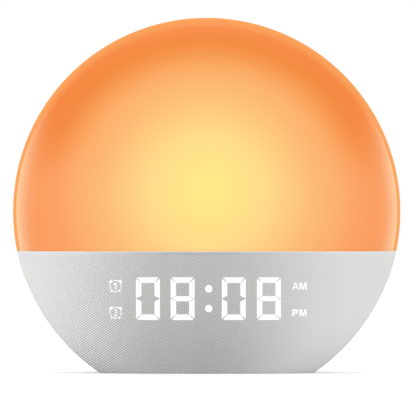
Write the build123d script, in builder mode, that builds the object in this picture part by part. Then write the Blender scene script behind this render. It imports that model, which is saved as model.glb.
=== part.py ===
"""Sunrise alarm clock: a round glowing lamp over a cloth-covered base with a time display.

Frame: +Z up, front of the clock towards -Y, origin on the table under the middle of the clock.
All sizes are in millimetres. The outline from the front is a circle, cut flat below. Both halves
of the body are turned about one axis, which runs front to back through the circle's centre.
"""

from build123d import *

import os
from math import cos, hypot, pi, radians, sin, sqrt

# ---------------------------------------------------------------- driving sizes
body_radius = 90.0  # the circle seen from the front
base_cut = 15.0  # how much of the circle is cut off below
base_height = 0.6  # underside of the casings above the table
split_height = 56.4  # the deck's top above the table: lamp above it, base below it

front_depth = 30.0  # crowned front, from its seat to its foremost point
front_shoulder = 18.0  # radius of its rounded shoulder
ring_band = 6.0  # straight band of the lamp ring and of the cloth
rear_band = 6.0  # straight band of the rear casing
rear_depth = 36.0
rear_shoulder = 22.0
fit_gap = 0.2  # between pieces that are laid into each other

cloth_thickness = 0.8
baffle_wall = 2.2
rear_wall = 2.4
diffuser_wall = 2.0
ring_face = 1.5  # width of the lamp ring seen from the front
ring_ledge = 1.5  # thickness of the ledge that carries the diffuser
ring_ledge_width = 5.0
ring_clearance = 0.1
deck_thickness = 1.6
base_thickness = 3.0

screw_shank = 2.9
screw_head = 5.6
screw_head_height = 1.5
screw_slot = 0.8
screw_cross = 0.6  # how far its slots reach, as a share of the head
small_screw_length = 5.5  # every screw that holds a board or the speaker
screw_clearance = 0.15  # round the shank, in a piece that it passes through
thread_clearance = 0.05  # round the shank, in a piece that it bites into
thread_relief = 0.2  # beyond a board screw's tip
head_clearance = 0.4
boss_radius = 4.2
small_boss_radius = 2.9

lug_inset = 11.0  # the screws of the lamp ring, inside the circle
lug_angles = (10.0, 62.0, 118.0, 170.0)
lug_length = 6.0
base_joint_inset = 8.4  # the screws between front and rear of the base, inside the circle
base_joint_angles = (-40.5, -139.5)
base_joint_length = 15.0
base_joint_floor = 1.0
casing_screw_seat_depth = 11.0  # behind the parting plane
casing_screw_length = 16.0
base_screw_inset = 13.6  # inside the ends of the flat bottom
base_screw_offsets = (-9.0, 13.0)  # from the parting plane
base_boss_height = 8.0
base_rib_length = 24.0
base_screw_length = 7.5
deck_screw_inset = 26.0
deck_screw_depth = 18.0  # behind the front pole
deck_boss_height = 10.0
deck_screw_length = 8.0
deck_ledge_width = 3.0
deck_ledge_depth = 8.0  # behind the parting plane

board_thickness = 1.6
board_corner = 1.0
display_drop = 20.4  # middle of the digits below the deck
display_board_margin = 3.0
display_board_reach = (-14.4, 15.6)  # its lower and upper edge, from the middle of the digits
display_board_depth = 18.0  # behind the front pole
stand_off_length = 8.4
stand_off_radius = 2.75
stand_off_gap = 3.0  # their middles, beside the window
stand_off_offsets = (-9.4, 10.6)  # from the middle of the digits
main_board_margin = 4.0
main_board_reach = (-13.4, 14.6)
board_screw_margin = 1.3  # left of the baffle's wall in front of a board screw's tip

window_margin = 3.9  # beside the pictograms
window_reach = (-13.8, 13.2)  # from the middle of the digits
mask_gap = 0.3  # between the light guides' mask and the cloth
guide_recess = 0.2
guide_clearance = 0.1
segment_led = 0.8
segment_led_length = 1.6
led_clearance = 0.3
digit_height = 20.2  # a 0.8 inch digit
digit_width = 11.4
digit_stroke = 2.7
digit_gap = 0.5
digit_places = (-27.5, -11.2, 12.7, 29.0)
colon_x = 0.7
colon_radius = 1.8
colon_offsets = (-4.7, 4.4)
icon_gap = 15.0  # their middles beside the first digit's
icon_radius = 3.6
icon_offsets = (-6.6, 5.8)
meridiem_gap = 14.3  # their middles beside the last digit's
meridiem_width = 7.4
meridiem_height = 4.2
header_width = 30.0
header_height = 2.5
header_offset = -10.4

light_board_radius = 36.0
light_board_gap = 3.6  # its lower edge above the deck
tray_wall = 1.5
tray_depth = 9.0
tray_floor_inset = 26.0
tray_rim_inset = 17.0
tray_boss_length = 4.5
light_led_size = 5.0
light_led_height = 1.6
light_led_rings = (12.0, 24.0)
light_led_pitch = 12.5  # along a ring
light_screw_offset = 21.5

pocket_width = 62.0
pocket_height = 36.0
pocket_rise = 9.0  # its middle above the circle's centre
pocket_corner = 8.0
pocket_depth = 5.4
pocket_wall = 2.0
key_columns = (-20.0, 0.0, 20.0)
key_rows = (-8.0, 8.0)  # from the pocket's middle
key_radius = 5.2
key_clearance = 0.2
key_stand = 1.5
key_edge = 0.5
key_travel = 0.5
key_flange = 1.1
key_flange_thickness = 1.0
key_rest_gap = 0.1
key_stem_radius = 1.6
key_stem_length = 1.2
switch_size = 6.0
switch_body = 3.5
switch_button_radius = 1.7
switch_button_height = 0.8
switch_play = 0.05  # left between a stem and its switch at the end of the travel
key_board_width = 66.0
key_board_height = 32.0
key_board_screws = (-29.5, -10.0, 10.0, 29.5)

snooze_width = 44.0
snooze_offset = 6.0  # its front edge behind the rear seat
snooze_depth = 12.0
snooze_stand = 0.5
snooze_gap = 0.3
snooze_flange = 2.0
snooze_flange_thickness = 1.2
snooze_travel = 1.0
snooze_stem_radius = 2.0
snooze_shelf_drop = 21.0  # below the top of the circle
snooze_shelf_thickness = 2.0
snooze_board_width = 34.0
snooze_board_depth = 11.0
snooze_screw_x = 12.0

speaker_rise = 26.4  # its middle above the base plate
speaker_radius = 20.0
speaker_setback = 17.0  # rear face of its flange, in front of the rear pole
speaker_gasket_thickness = 1.0
speaker_gasket_margin = 0.7  # keeps the gasket clear of the screw bosses
speaker_flange = 1.5
speaker_duct_wall = 2.2
speaker_screw_ring = 22.4
speaker_tab_radius = 3.4
basket_length = 10.5
basket_rear_radius = 11.5
basket_wall = 1.0
basket_lip = 0.4  # its step, beyond the surround
magnet_thickness = 5.0
magnet_radius = 11.0
yoke_thickness = 2.0
yoke_inset = 1.0
pole_radius = 3.5
coil_gap = 0.35
coil_wall = 0.4
coil_length = 8.0
cone_radius = 15.0
cone_wall = 0.5
cone_land = 1.0  # flat edge that the surround is glued to
surround_width = 2.6
surround_wall = 0.5
diaphragm_travel = 0.8
terminal_width = 4.0
terminal_height = 6.0
terminal_length = 3.5
terminal_offset = 0.6
grille_hole_radius = 1.2
grille_pitch = 4.4
grille_radius = 17.5

inlet_inset = 14.6  # inside the end of the flat bottom
inlet_rise = 13.4  # above the base plate
inlet_pocket_width = 17.0
inlet_pocket_height = 11.0
inlet_pocket_corner = 2.5
inlet_pocket_setback = 18.5  # its floor, in front of the rear pole
inlet_width = 8.94
inlet_height = 3.26
inlet_length = 7.3
inlet_stand = 0.3
inlet_wall = 0.3
inlet_floor = 1.0
inlet_tongue_width = 6.7
inlet_tongue_height = 0.7
inlet_tongue_length = 5.0
power_board_width = 20.0
power_board_length = 22.2
power_board_rear_gap = 0.3
power_post_offset = 6.5
power_post_depth = 3.0  # behind the parting plane

pad_gap = 6.0  # its ends inside the base screws
pad_reach = (-15.0, 19.0)  # its front and rear edge, from the parting plane
pad_corner = 8.0
pad_recess = 0.6
door_width = 34.0
door_length = 27.0
door_offset = 4.0  # its middle behind the parting plane
door_thickness = 1.9
door_margin = 1.0
door_corner = 2.0
door_screw_x = 13.4
cell_x = -4.0
cell_radius = 10.0
cell_thickness = 3.2
cell_clearance = 0.3
cell_holder_wall = 1.6
cell_roof = 0.8
cell_contact_rise = 1.4
cell_contact_wall = 0.3
cell_contact_width = 4.0
cell_contact_inset = 2.0

lead_radius = 1.2
ribbon_width = 10.0
ribbon_thickness = 0.6
ribbon_play = 2.0  # of the deck's notch and the connector, across the ribbon
ribbon_slot = 4.0
connector_height = 4.0
connector_width = 8.0
connector_depth = 4.0
speaker_connector = (5.0, 6.0)
connector_margin = 3.5  # their middles below the main board's upper edge
chip_height = 1.2
chips = ((-6.0, -0.4, 10.0, 10.0), (8.0, -3.4, 6.0, 5.0), (-44.0, -1.4, 7.0, 7.0), (34.0, 9.6, 5.0, 4.0))
capacitor_radius = 4.0
capacitor_height = 9.0
can_edge = 0.4  # rounding of the cans and of the cell
capacitor_x = -34.0
capacitor_offsets = (-5.4, 4.6)
light_lead_gap = 5.5  # behind the tray
ribbon_x = -24.0
speaker_lead_x = 18.6
snooze_lead_x = 6.0
snooze_lead_gap = 4.85  # in front of the key board
snooze_lead_margin = 3.0  # its end below the key board's upper edge
power_lead_depth = 7.0  # behind the parting plane
ribbon_margin = 2.0  # its end above the key board's lower edge
bend = 4.0

# ---------------------------------------------------------------- derived places
centre_height = body_radius - base_cut
total_depth = front_depth + ring_band + rear_band + rear_depth
front_pole = -total_depth / 2
front_seat = front_pole + front_depth
parting = front_seat + ring_band
rear_seat = parting + rear_band
rear_pole = rear_seat + rear_depth
outside = rear_pole + rear_wall  # behind the casing, where cuts from the rear start
deck_bottom = split_height - deck_thickness
base_top = base_height + base_thickness
ledge_front = parting - ring_ledge
base_half = sqrt(body_radius**2 - (centre_height - base_height) ** 2)
lug_radius = body_radius - lug_inset
base_joint_radius = body_radius - base_joint_inset
casing_screw_seat = parting + casing_screw_seat_depth
base_screw_x = base_half - base_screw_inset
base_screw_depths = [parting + offset for offset in base_screw_offsets]
deck_screw_x = body_radius - deck_screw_inset
deck_screw_y = front_pole + deck_screw_depth
deck_ledge_y = parting + deck_ledge_depth
digit_level = deck_bottom - display_drop
display_board_bottom, display_board_top = (digit_level + z for z in display_board_reach)
display_board_front = front_pole + display_board_depth
icon_x = digit_places[0] - icon_gap
meridiem_x = digit_places[-1] + meridiem_gap
window_half = icon_radius - icon_x + window_margin
stand_off_x = window_half + stand_off_gap
stand_off_heights = [digit_level + z for z in stand_off_offsets]
display_board_width = 2 * (stand_off_x + display_board_margin)
main_board_width = 2 * (stand_off_x + main_board_margin)
main_board_bottom, main_board_top = (digit_level + z for z in main_board_reach)
window_bottom, window_top = (digit_level + z for z in window_reach)
colon_heights = [digit_level + z for z in colon_offsets]
icon_heights = [digit_level + z for z in icon_offsets]
header_level = digit_level + header_offset
light_board_level = split_height + light_board_gap + light_board_radius
tray_floor = parting + tray_depth
tray_floor_radius = body_radius - tray_floor_inset
tray_rim_radius = body_radius - tray_rim_inset
pocket_level = centre_height + pocket_rise
snooze_front = rear_seat + snooze_offset
snooze_back = snooze_front + snooze_depth
snooze_shelf_bottom = centre_height + body_radius - snooze_shelf_drop
speaker_level = base_top + speaker_rise
speaker_face = rear_pole - speaker_setback
inlet_x = base_half - inlet_inset
inlet_level = base_top + inlet_rise
inlet_pocket_floor = rear_pole - inlet_pocket_setback
power_post_y = parting + power_post_depth
pad_width = 2 * (base_screw_x - pad_gap)
pad_front, pad_rear = (parting + y for y in pad_reach)
door_y = parting + door_offset
light_lead_depth = tray_floor + tray_wall + light_lead_gap
power_lead_y = parting + power_lead_depth
ribbon_start = pocket_level - key_board_height / 2 + ribbon_margin
snooze_lead_end = pocket_level + key_board_height / 2 - snooze_lead_margin
FRONT, REAR = -1, 1
BIG = 4 * body_radius  # larger than the clock, for cutting tools
body_axis = Axis((0, 0, centre_height), (0, 1, 0))
speaker_axis = Axis((0, 0, speaker_level), (0, 1, 0))

os.makedirs("parts", exist_ok=True)


def save(part, name):
    """Labels a finished piece and writes it under its own name."""
    part.label = name
    export_step(part, f"parts/{name}.step")


def layer(y):
    """Plane across the body axis, with X and Z as its own axes. Its normal points to the front."""
    return Plane.XZ.offset(-y)


def level(z):
    """Plane at a height, with its normal upwards."""
    return Plane.XY.offset(z)


def crown_radius(rim, shoulder, depth):
    """Radius of the crown that runs tangent into a shoulder arc."""
    return ((rim - shoulder) ** 2 + depth**2 - shoulder**2) / (2 * (depth - shoulder))


def turned(rim, shoulder, depth, seat, edge, side):
    """Solid turned about the body axis: straight from edge to seat, then a crowned dome."""
    crown = crown_radius(rim, shoulder, depth)
    reach = crown - shoulder
    out, up = (rim - shoulder) / reach, (crown - depth) / reach
    bisector = hypot(1 + out, up)

    def at(radius, height):
        return (radius, seat + side * height)

    def on_crown(radius):
        return at(radius, depth - crown + sqrt(crown**2 - radius**2))

    tangent = (rim - shoulder + shoulder * out, shoulder * up)
    middle = (rim - shoulder + shoulder * (1 + out) / bisector, shoulder * up / bisector)
    with BuildPart() as solid:
        with BuildSketch(level(centre_height)):
            with BuildLine():
                Polyline((0, edge), (rim, edge), (rim, seat))
                ThreePointArc((rim, seat), at(*middle), at(*tangent))
                ThreePointArc(at(*tangent), on_crown(tangent[0] / 2), at(0, depth))
                Line(at(0, depth), (0, edge))
            make_face()
        revolve(axis=body_axis)
    return solid.part


def front_body(inset):
    """The front half of the body, made smaller all round by inset."""
    return turned(
        body_radius - inset, front_shoulder - inset, front_depth - inset, front_seat, parting, FRONT
    )


def rear_body(inset):
    """The rear half of the body, made smaller all round by inset."""
    return turned(
        body_radius - inset, rear_shoulder - inset, rear_depth - inset, rear_seat, parting, REAR
    )


def front_surface(x, z, inset):
    """Place along Y of the front crown over a point, made smaller by inset."""
    crown = crown_radius(body_radius, front_shoulder, front_depth)
    return front_pole + crown - sqrt((crown - inset) ** 2 - x**2 - (z - centre_height) ** 2)


def slab(low, high):
    """Everything between two heights."""
    return Pos(0, 0, (low + high) / 2) * Box(BIG, BIG, high - low)


def screw_at(length):
    """Screw with its seat at the origin: head above it, shank below it."""
    with BuildPart() as screw:
        with BuildSketch():
            Circle(screw_head / 2)
        extrude(amount=screw_head_height)
        fillet(screw.edges().group_by(Axis.Z)[-1], screw_head_height / 3)
        with BuildSketch(level(screw_head_height)):
            Rectangle(screw_head * screw_cross, screw_slot)
            Rectangle(screw_slot, screw_head * screw_cross)
        extrude(amount=-screw_head_height / 2, mode=Mode.SUBTRACT)
        with BuildSketch():
            Circle(screw_shank / 2)
        extrude(amount=-length)
        chamfer(screw.edges().group_by(Axis.Z)[0], screw_shank / 4)
    return screw.part


def screws(length, planes):
    """Like screws, one on each plane, with their heads along the plane's normal."""
    screw = screw_at(length)
    return Compound(children=[plane.location * screw for plane in planes])


def to_rear(x, y, z):
    return Plane(origin=(x, y, z), x_dir=(1, 0, 0), z_dir=(0, 1, 0))


def to_front(x, y, z):
    return Plane(origin=(x, y, z), x_dir=(1, 0, 0), z_dir=(0, -1, 0))


def upwards(x, y, z):
    return Plane(origin=(x, y, z), x_dir=(1, 0, 0), z_dir=(0, 0, 1))


def downwards(x, y, z):
    return Plane(origin=(x, y, z), x_dir=(1, 0, 0), z_dir=(0, 0, -1))


def lead(radius, bend, *points):
    """Round lead along straight runs that are joined by arcs."""
    with BuildPart() as cable:
        with BuildLine() as route:
            FilletPolyline(*points, radius=bend)
        with BuildSketch(Plane(origin=route.line @ 0, z_dir=route.line % 0)):
            Circle(radius)
        sweep(path=route.line)
    return cable.part


def both_sides(x, heights):
    """Places left and right of the middle at each height."""
    return [(side * x, z) for side in (-1, 1) for z in heights]


def around_axis(radius, angle):
    """Place at a radius and angle about the body axis."""
    return (radius * cos(radians(angle)), centre_height + radius * sin(radians(angle)))


through_hole = screw_shank / 2 + screw_clearance
thread_hole = screw_shank / 2 + thread_clearance
head_hole = screw_head / 2 + head_clearance
inside_front = cloth_thickness + baffle_wall
lug_places = [around_axis(lug_radius, angle) for angle in lug_angles]
base_joints = [around_axis(base_joint_radius, angle) for angle in base_joint_angles]
stand_offs = both_sides(stand_off_x, stand_off_heights)
baffle_at_posts = front_surface(stand_off_x, stand_off_heights[0], cloth_thickness)
board_thread = display_board_front - baffle_at_posts - board_screw_margin
base_screw_places = both_sides(base_screw_x, base_screw_depths)
deck_screw_places = both_sides(deck_screw_x, (deck_screw_y,))
key_places = [(x, pocket_level + z) for z in key_rows for x in key_columns]
above_deck = slab(split_height, BIG)
base_slab = slab(base_height, deck_bottom)

# ---------------------------------------------------------------- lamp: diffuser and its ring
diffuser_rim = body_radius - ring_face
diffuser_outer = turned(
    diffuser_rim, front_shoulder, front_depth, front_seat, ledge_front, FRONT
)
diffuser_inner = turned(
    diffuser_rim - diffuser_wall,
    front_shoulder - diffuser_wall,
    front_depth - diffuser_wall,
    front_seat,
    ledge_front,
    FRONT,
)
with BuildPart() as light_diffuser:
    add(diffuser_outer)
    add(diffuser_inner, mode=Mode.SUBTRACT)
    add(above_deck, mode=Mode.INTERSECT)
save(light_diffuser.part, "light_diffuser")

with BuildPart() as diffuser_ring:
    with BuildSketch(layer(parting)):
        with Locations((0, centre_height)):
            Circle(body_radius)
            Circle(diffuser_rim + ring_clearance, mode=Mode.SUBTRACT)
    extrude(amount=ring_band)
    with BuildSketch(layer(parting)):
        with Locations((0, centre_height)):
            Circle(body_radius)
            Circle(body_radius - ring_ledge_width, mode=Mode.SUBTRACT)
    extrude(amount=ring_ledge)
    with BuildSketch(layer(parting)):
        with Locations(*lug_places):
            Circle(boss_radius)
        with Locations((0, centre_height)):
            for angle in lug_angles:
                with PolarLocations(lug_radius + boss_radius, 1, start_angle=angle):
                    Rectangle(2 * boss_radius, 2 * boss_radius)
            Circle(diffuser_rim - diffuser_wall - fit_gap, mode=Mode.INTERSECT)
    extrude(amount=ring_ledge)
    with BuildSketch(layer(parting)):
        with Locations(*lug_places):
            Circle(boss_radius)
    extrude(amount=ring_ledge + lug_length)
    with BuildSketch(layer(parting)):
        with Locations(*lug_places):
            Circle(thread_hole)
    extrude(amount=ring_ledge + lug_length, mode=Mode.SUBTRACT)
    add(above_deck, mode=Mode.INTERSECT)
save(diffuser_ring.part, "diffuser_ring")

# ---------------------------------------------------------------- deck between lamp and base
deck_slab = slab(deck_bottom, split_height)
with BuildPart() as lamp_deck:
    add(front_body(0))
    add(rear_body(rear_wall + fit_gap))
    add(deck_slab, mode=Mode.INTERSECT)
    with BuildSketch(level(deck_bottom)):
        with Locations(*deck_screw_places):
            Circle(through_hole)
        with Locations((0, light_lead_depth)):
            Circle(lead_radius + led_clearance)
        with Locations((ribbon_x, light_lead_depth)):
            Rectangle(ribbon_width + ribbon_play, ribbon_slot)
    extrude(amount=deck_thickness, mode=Mode.SUBTRACT)
save(lamp_deck.part, "lamp_deck")
save(
    screws(deck_screw_length, [upwards(x, y, split_height) for x, y in deck_screw_places]),
    "deck_screws",
)

# ---------------------------------------------------------------- base: cloth and front baffle
under_cloth = front_body(cloth_thickness)
hem_slab = slab(base_height, base_height + cloth_thickness)
baffle_slab = slab(base_height + cloth_thickness, deck_bottom)
with BuildPart() as cloth_hem:
    add(front_body(0))
    add(front_body(inside_front), mode=Mode.SUBTRACT)
    add(hem_slab, mode=Mode.INTERSECT)
with BuildPart() as fabric_cover:
    add(front_body(0))
    add(under_cloth, mode=Mode.SUBTRACT)
    add(base_slab, mode=Mode.INTERSECT)
    add(cloth_hem.part)
save(fabric_cover.part, "fabric_cover")

with BuildPart() as baffle_bosses:
    with BuildSketch(layer(parting)):
        with Locations(*base_joints):
            Circle(boss_radius)
    extrude(amount=base_joint_length)
    with BuildSketch(layer(display_board_front)):
        with Locations(*stand_offs):
            Circle(small_boss_radius)
    extrude(amount=front_depth)
    with BuildSketch(level(base_top)):
        for x, y in base_screw_places:
            if y < parting:
                with Locations((x, y)):
                    Circle(boss_radius)
                with Locations((x + base_rib_length / 2 * (1 if x > 0 else -1), y)):
                    Rectangle(base_rib_length, screw_shank)
    extrude(amount=base_boss_height)
    with BuildSketch(level(deck_bottom - deck_boss_height)):
        for x, y in deck_screw_places:
            with Locations((x, y)):
                Circle(boss_radius)
            with Locations((x, y - boss_radius)):
                Rectangle(screw_shank, 2 * boss_radius)
    extrude(amount=deck_boss_height)
    add(under_cloth, mode=Mode.INTERSECT)
with BuildPart() as front_baffle:
    add(under_cloth)
    add(front_body(inside_front), mode=Mode.SUBTRACT)
    with BuildSketch(layer(parting)):
        with Locations((0, (window_bottom + window_top) / 2)):
            Rectangle(2 * window_half, window_top - window_bottom)
    extrude(amount=ring_band + front_depth, mode=Mode.SUBTRACT)
    add(baffle_bosses.part)
    add(baffle_slab, mode=Mode.INTERSECT)
    with BuildSketch(layer(parting)):
        with Locations(*base_joints):
            Circle(thread_hole)
    extrude(amount=base_joint_length - base_joint_floor, mode=Mode.SUBTRACT)
    with BuildSketch(layer(display_board_front)):
        with Locations(*stand_offs):
            Circle(thread_hole)
    extrude(amount=board_thread + thread_relief, mode=Mode.SUBTRACT)
    with BuildSketch(level(base_top)):
        with Locations(*base_screw_places):
            Circle(thread_hole)
    extrude(amount=base_boss_height, mode=Mode.SUBTRACT)
    with BuildSketch(level(deck_bottom)):
        with Locations(*deck_screw_places):
            Circle(thread_hole)
    extrude(amount=-deck_boss_height, mode=Mode.SUBTRACT)
save(front_baffle.part, "front_baffle")

# ---------------------------------------------------------------- display: mask, guides, boards
def segment_outlines(width, height, stroke, gap):
    """Outlines of a seven segment digit's bars, about its middle."""
    x, z, g = width / 2, height / 2, gap / 2
    bar = [(-x + g, z), (x - g, z), (x - stroke - g, z - stroke), (-x + stroke + g, z - stroke)]
    upright = [(-x, z - g), (-x + stroke, z - stroke - g), (-x + stroke, stroke / 2 + g), (-x, g)]
    tip, shoulder = x - 2 * g, x - stroke - g
    middle = [
        (-tip, 0),
        (-shoulder, stroke / 2 - g),
        (shoulder, stroke / 2 - g),
        (tip, 0),
        (shoulder, g - stroke / 2),
        (-shoulder, g - stroke / 2),
    ]
    uprights = [[(sx * px, sz * pz) for px, pz in upright] for sx in (1, -1) for sz in (1, -1)]
    bars = [[(px, sz * pz) for px, pz in bar] for sz in (1, -1)]
    return bars + uprights + [middle]


def light_columns(clearance, start, inset):
    """Columns of light for every lit shape of the display, up to a surface behind the cloth."""
    outlines = segment_outlines(
        digit_width + 2 * clearance,
        digit_height + 2 * clearance,
        digit_stroke + 2 * clearance,
        digit_gap - 2 * clearance,
    )
    with BuildPart() as columns:
        with BuildSketch(layer(start)):
            with Locations(*[(x, digit_level) for x in digit_places]):
                for outline in outlines:
                    Polygon(*outline, align=None)
            with Locations(*[(colon_x, z) for z in colon_heights]):
                Circle(colon_radius + clearance)
            with Locations(*[(icon_x, z) for z in icon_heights]):
                Circle(icon_radius + clearance)
            with Locations(*[(meridiem_x, z) for z in icon_heights]):
                Rectangle(meridiem_width + 2 * clearance, meridiem_height + 2 * clearance)
        extrude(amount=front_depth)
        add(front_body(inset), mode=Mode.INTERSECT)
    return columns.part


mask_inset = cloth_thickness + mask_gap
wells = light_columns(guide_clearance, display_board_front, mask_inset - guide_recess)
guide_start = display_board_front - segment_led - led_clearance
guides = light_columns(0, guide_start, mask_inset + guide_recess)
with BuildPart() as display_mask:
    with BuildSketch(layer(display_board_front)):
        with Locations((0, (window_bottom + window_top) / 2)):
            Rectangle(2 * (window_half - fit_gap), window_top - window_bottom - 2 * fit_gap)
    extrude(amount=front_depth)
    add(front_body(mask_inset), mode=Mode.INTERSECT)
    add(wells, mode=Mode.SUBTRACT)
save(display_mask.part, "display_mask")

digit_span = digit_places[-1] + digit_width
lit = guides.solids()
save(Compound(children=[s for s in lit if abs(s.center().X) < digit_span]), "digit_guides")
save(Compound(children=[s for s in lit if abs(s.center().X) > digit_span]), "icon_guides")
segment_centres = [
    (x + dx * (digit_width - digit_stroke) / 2, digit_level + dz * (digit_height - digit_stroke) / 4)
    for x in digit_places
    for dx, dz in ((0, 2), (0, 0), (0, -2), (-1, 1), (1, 1), (-1, -1), (1, -1))
]
glow_places = [(colon_x, z) for z in colon_heights]
glow_places += [(x, z) for x in (icon_x, meridiem_x) for z in icon_heights]
with BuildPart() as display_leds:
    with BuildSketch(layer(display_board_front)):
        with Locations(*(segment_centres + glow_places)):
            Rectangle(segment_led_length, segment_led)
    extrude(amount=segment_led)
save(display_leds.part, "display_leds")


def board(width, bottom, top, rear, holes, hole_radius):
    """Circuit board across the body axis, with its rear face at a place along Y."""
    with BuildPart() as plate:
        with BuildSketch(layer(rear)):
            with Locations((0, (bottom + top) / 2)):
                RectangleRounded(width, top - bottom, board_corner)
            with Locations(*holes):
                Circle(hole_radius, mode=Mode.SUBTRACT)
        extrude(amount=board_thickness)
    return plate.part


display_board_rear = display_board_front + board_thickness
main_board_front = display_board_rear + stand_off_length
main_board_rear = main_board_front + board_thickness
save(
    board(
        display_board_width, display_board_bottom, display_board_top, display_board_rear,
        stand_offs, through_hole,
    ),
    "display_board",
)
save(
    board(
        main_board_width, main_board_bottom, main_board_top, main_board_rear,
        stand_offs, through_hole,
    ),
    "main_board",
)
with BuildPart() as board_standoffs:
    with BuildSketch(layer(main_board_front)):
        with Locations(*stand_offs):
            Circle(stand_off_radius)
            Circle(through_hole, mode=Mode.SUBTRACT)
    extrude(amount=stand_off_length)
save(board_standoffs.part, "board_standoffs")
board_screw_length = 2 * board_thickness + stand_off_length + board_thread
save(
    screws(board_screw_length, [to_rear(x, main_board_rear, z) for x, z in stand_offs]),
    "board_screws",
)
with BuildPart() as board_header:
    with BuildSketch(layer(main_board_front)):
        with Locations((0, header_level)):
            Rectangle(header_width, header_height)
    extrude(amount=stand_off_length)
save(board_header.part, "board_header")

with BuildPart() as main_board_chips:
    with BuildSketch(layer(main_board_rear + chip_height)):
        for x, offset, chip_width, chip_depth in chips:
            with Locations((x, digit_level + offset)):
                Rectangle(chip_width, chip_depth)
    extrude(amount=chip_height)
save(main_board_chips.part, "main_board_chips")
with BuildPart() as board_capacitors:
    with BuildSketch(layer(main_board_rear + capacitor_height)):
        with Locations(*[(capacitor_x, digit_level + offset) for offset in capacitor_offsets]):
            Circle(capacitor_radius)
    extrude(amount=capacitor_height)
    fillet(board_capacitors.edges().filter_by(GeomType.CIRCLE), can_edge)
save(board_capacitors.part, "board_capacitors")

connector_rear = main_board_rear + connector_height
connector_level = main_board_top - connector_margin
connectors = (
    (0, connector_level, connector_width, connector_depth),
    (ribbon_x, connector_level, ribbon_width + ribbon_play, connector_depth),
    (speaker_lead_x, speaker_level, *speaker_connector),
    (inlet_x, speaker_level, connector_width, connector_depth),
)
with BuildPart() as board_connectors:
    with BuildSketch(layer(connector_rear)):
        for x, z, width, height in connectors:
            with Locations((x, z)):
                Rectangle(width, height)
    extrude(amount=connector_height)
save(board_connectors.part, "board_connectors")

# ---------------------------------------------------------------- lamp: tray, board and lights
tray_flange_radius = body_radius - rear_wall - 2 * fit_gap
with BuildPart() as tray_shell:
    with BuildSketch(level(centre_height)):
        with BuildLine():
            Polyline(
                (0, tray_floor),
                (tray_floor_radius, tray_floor),
                (tray_rim_radius, parting),
                (tray_flange_radius, parting),
                (tray_flange_radius, parting + tray_wall),
                (tray_rim_radius + tray_wall, parting + tray_wall),
                (tray_floor_radius + tray_wall, tray_floor + tray_wall),
                (0, tray_floor + tray_wall),
                close=True,
            )
        make_face()
    revolve(axis=body_axis)
light_screw_places = [
    (x, light_board_level + z)
    for x in (-light_screw_offset, light_screw_offset)
    for z in (-light_screw_offset, light_screw_offset)
]
light_lead_level = light_board_level - light_board_radius + 2 * lead_radius
above_deck_gap = slab(split_height + fit_gap, BIG)
with BuildPart() as reflector_tray:
    add(tray_shell.part)
    with BuildSketch(layer(tray_floor + tray_wall + tray_boss_length)):
        with Locations(*light_screw_places):
            Circle(small_boss_radius)
    extrude(amount=tray_boss_length)
    with BuildSketch(layer(tray_floor + tray_wall + tray_boss_length)):
        with Locations(*light_screw_places):
            Circle(thread_hole)
        with Locations((0, light_lead_level)):
            Circle(lead_radius + led_clearance)
    extrude(amount=tray_boss_length + tray_wall, mode=Mode.SUBTRACT)
    with BuildSketch(layer(parting + tray_wall)):
        with Locations(*lug_places):
            Circle(through_hole)
    extrude(amount=tray_wall, mode=Mode.SUBTRACT)
    add(above_deck_gap, mode=Mode.INTERSECT)
save(reflector_tray.part, "reflector_tray")

with BuildPart() as light_board:
    with BuildSketch(layer(tray_floor)):
        with Locations((0, light_board_level)):
            Circle(light_board_radius)
        with Locations(*light_screw_places):
            Circle(through_hole, mode=Mode.SUBTRACT)
    extrude(amount=board_thickness)
save(light_board.part, "light_board")
light_board_front = tray_floor - board_thickness
with BuildPart() as light_leds:
    with BuildSketch(layer(light_board_front)):
        with Locations((0, light_board_level)):
            Rectangle(light_led_size, light_led_size)
            for ring_radius in light_led_rings:
                with PolarLocations(ring_radius, round(2 * pi * ring_radius / light_led_pitch)):
                    Rectangle(light_led_size, light_led_size)
    extrude(amount=light_led_height)
save(light_leds.part, "light_leds")
small_screw_planes = [to_front(x, light_board_front, z) for x, z in light_screw_places]

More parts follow.
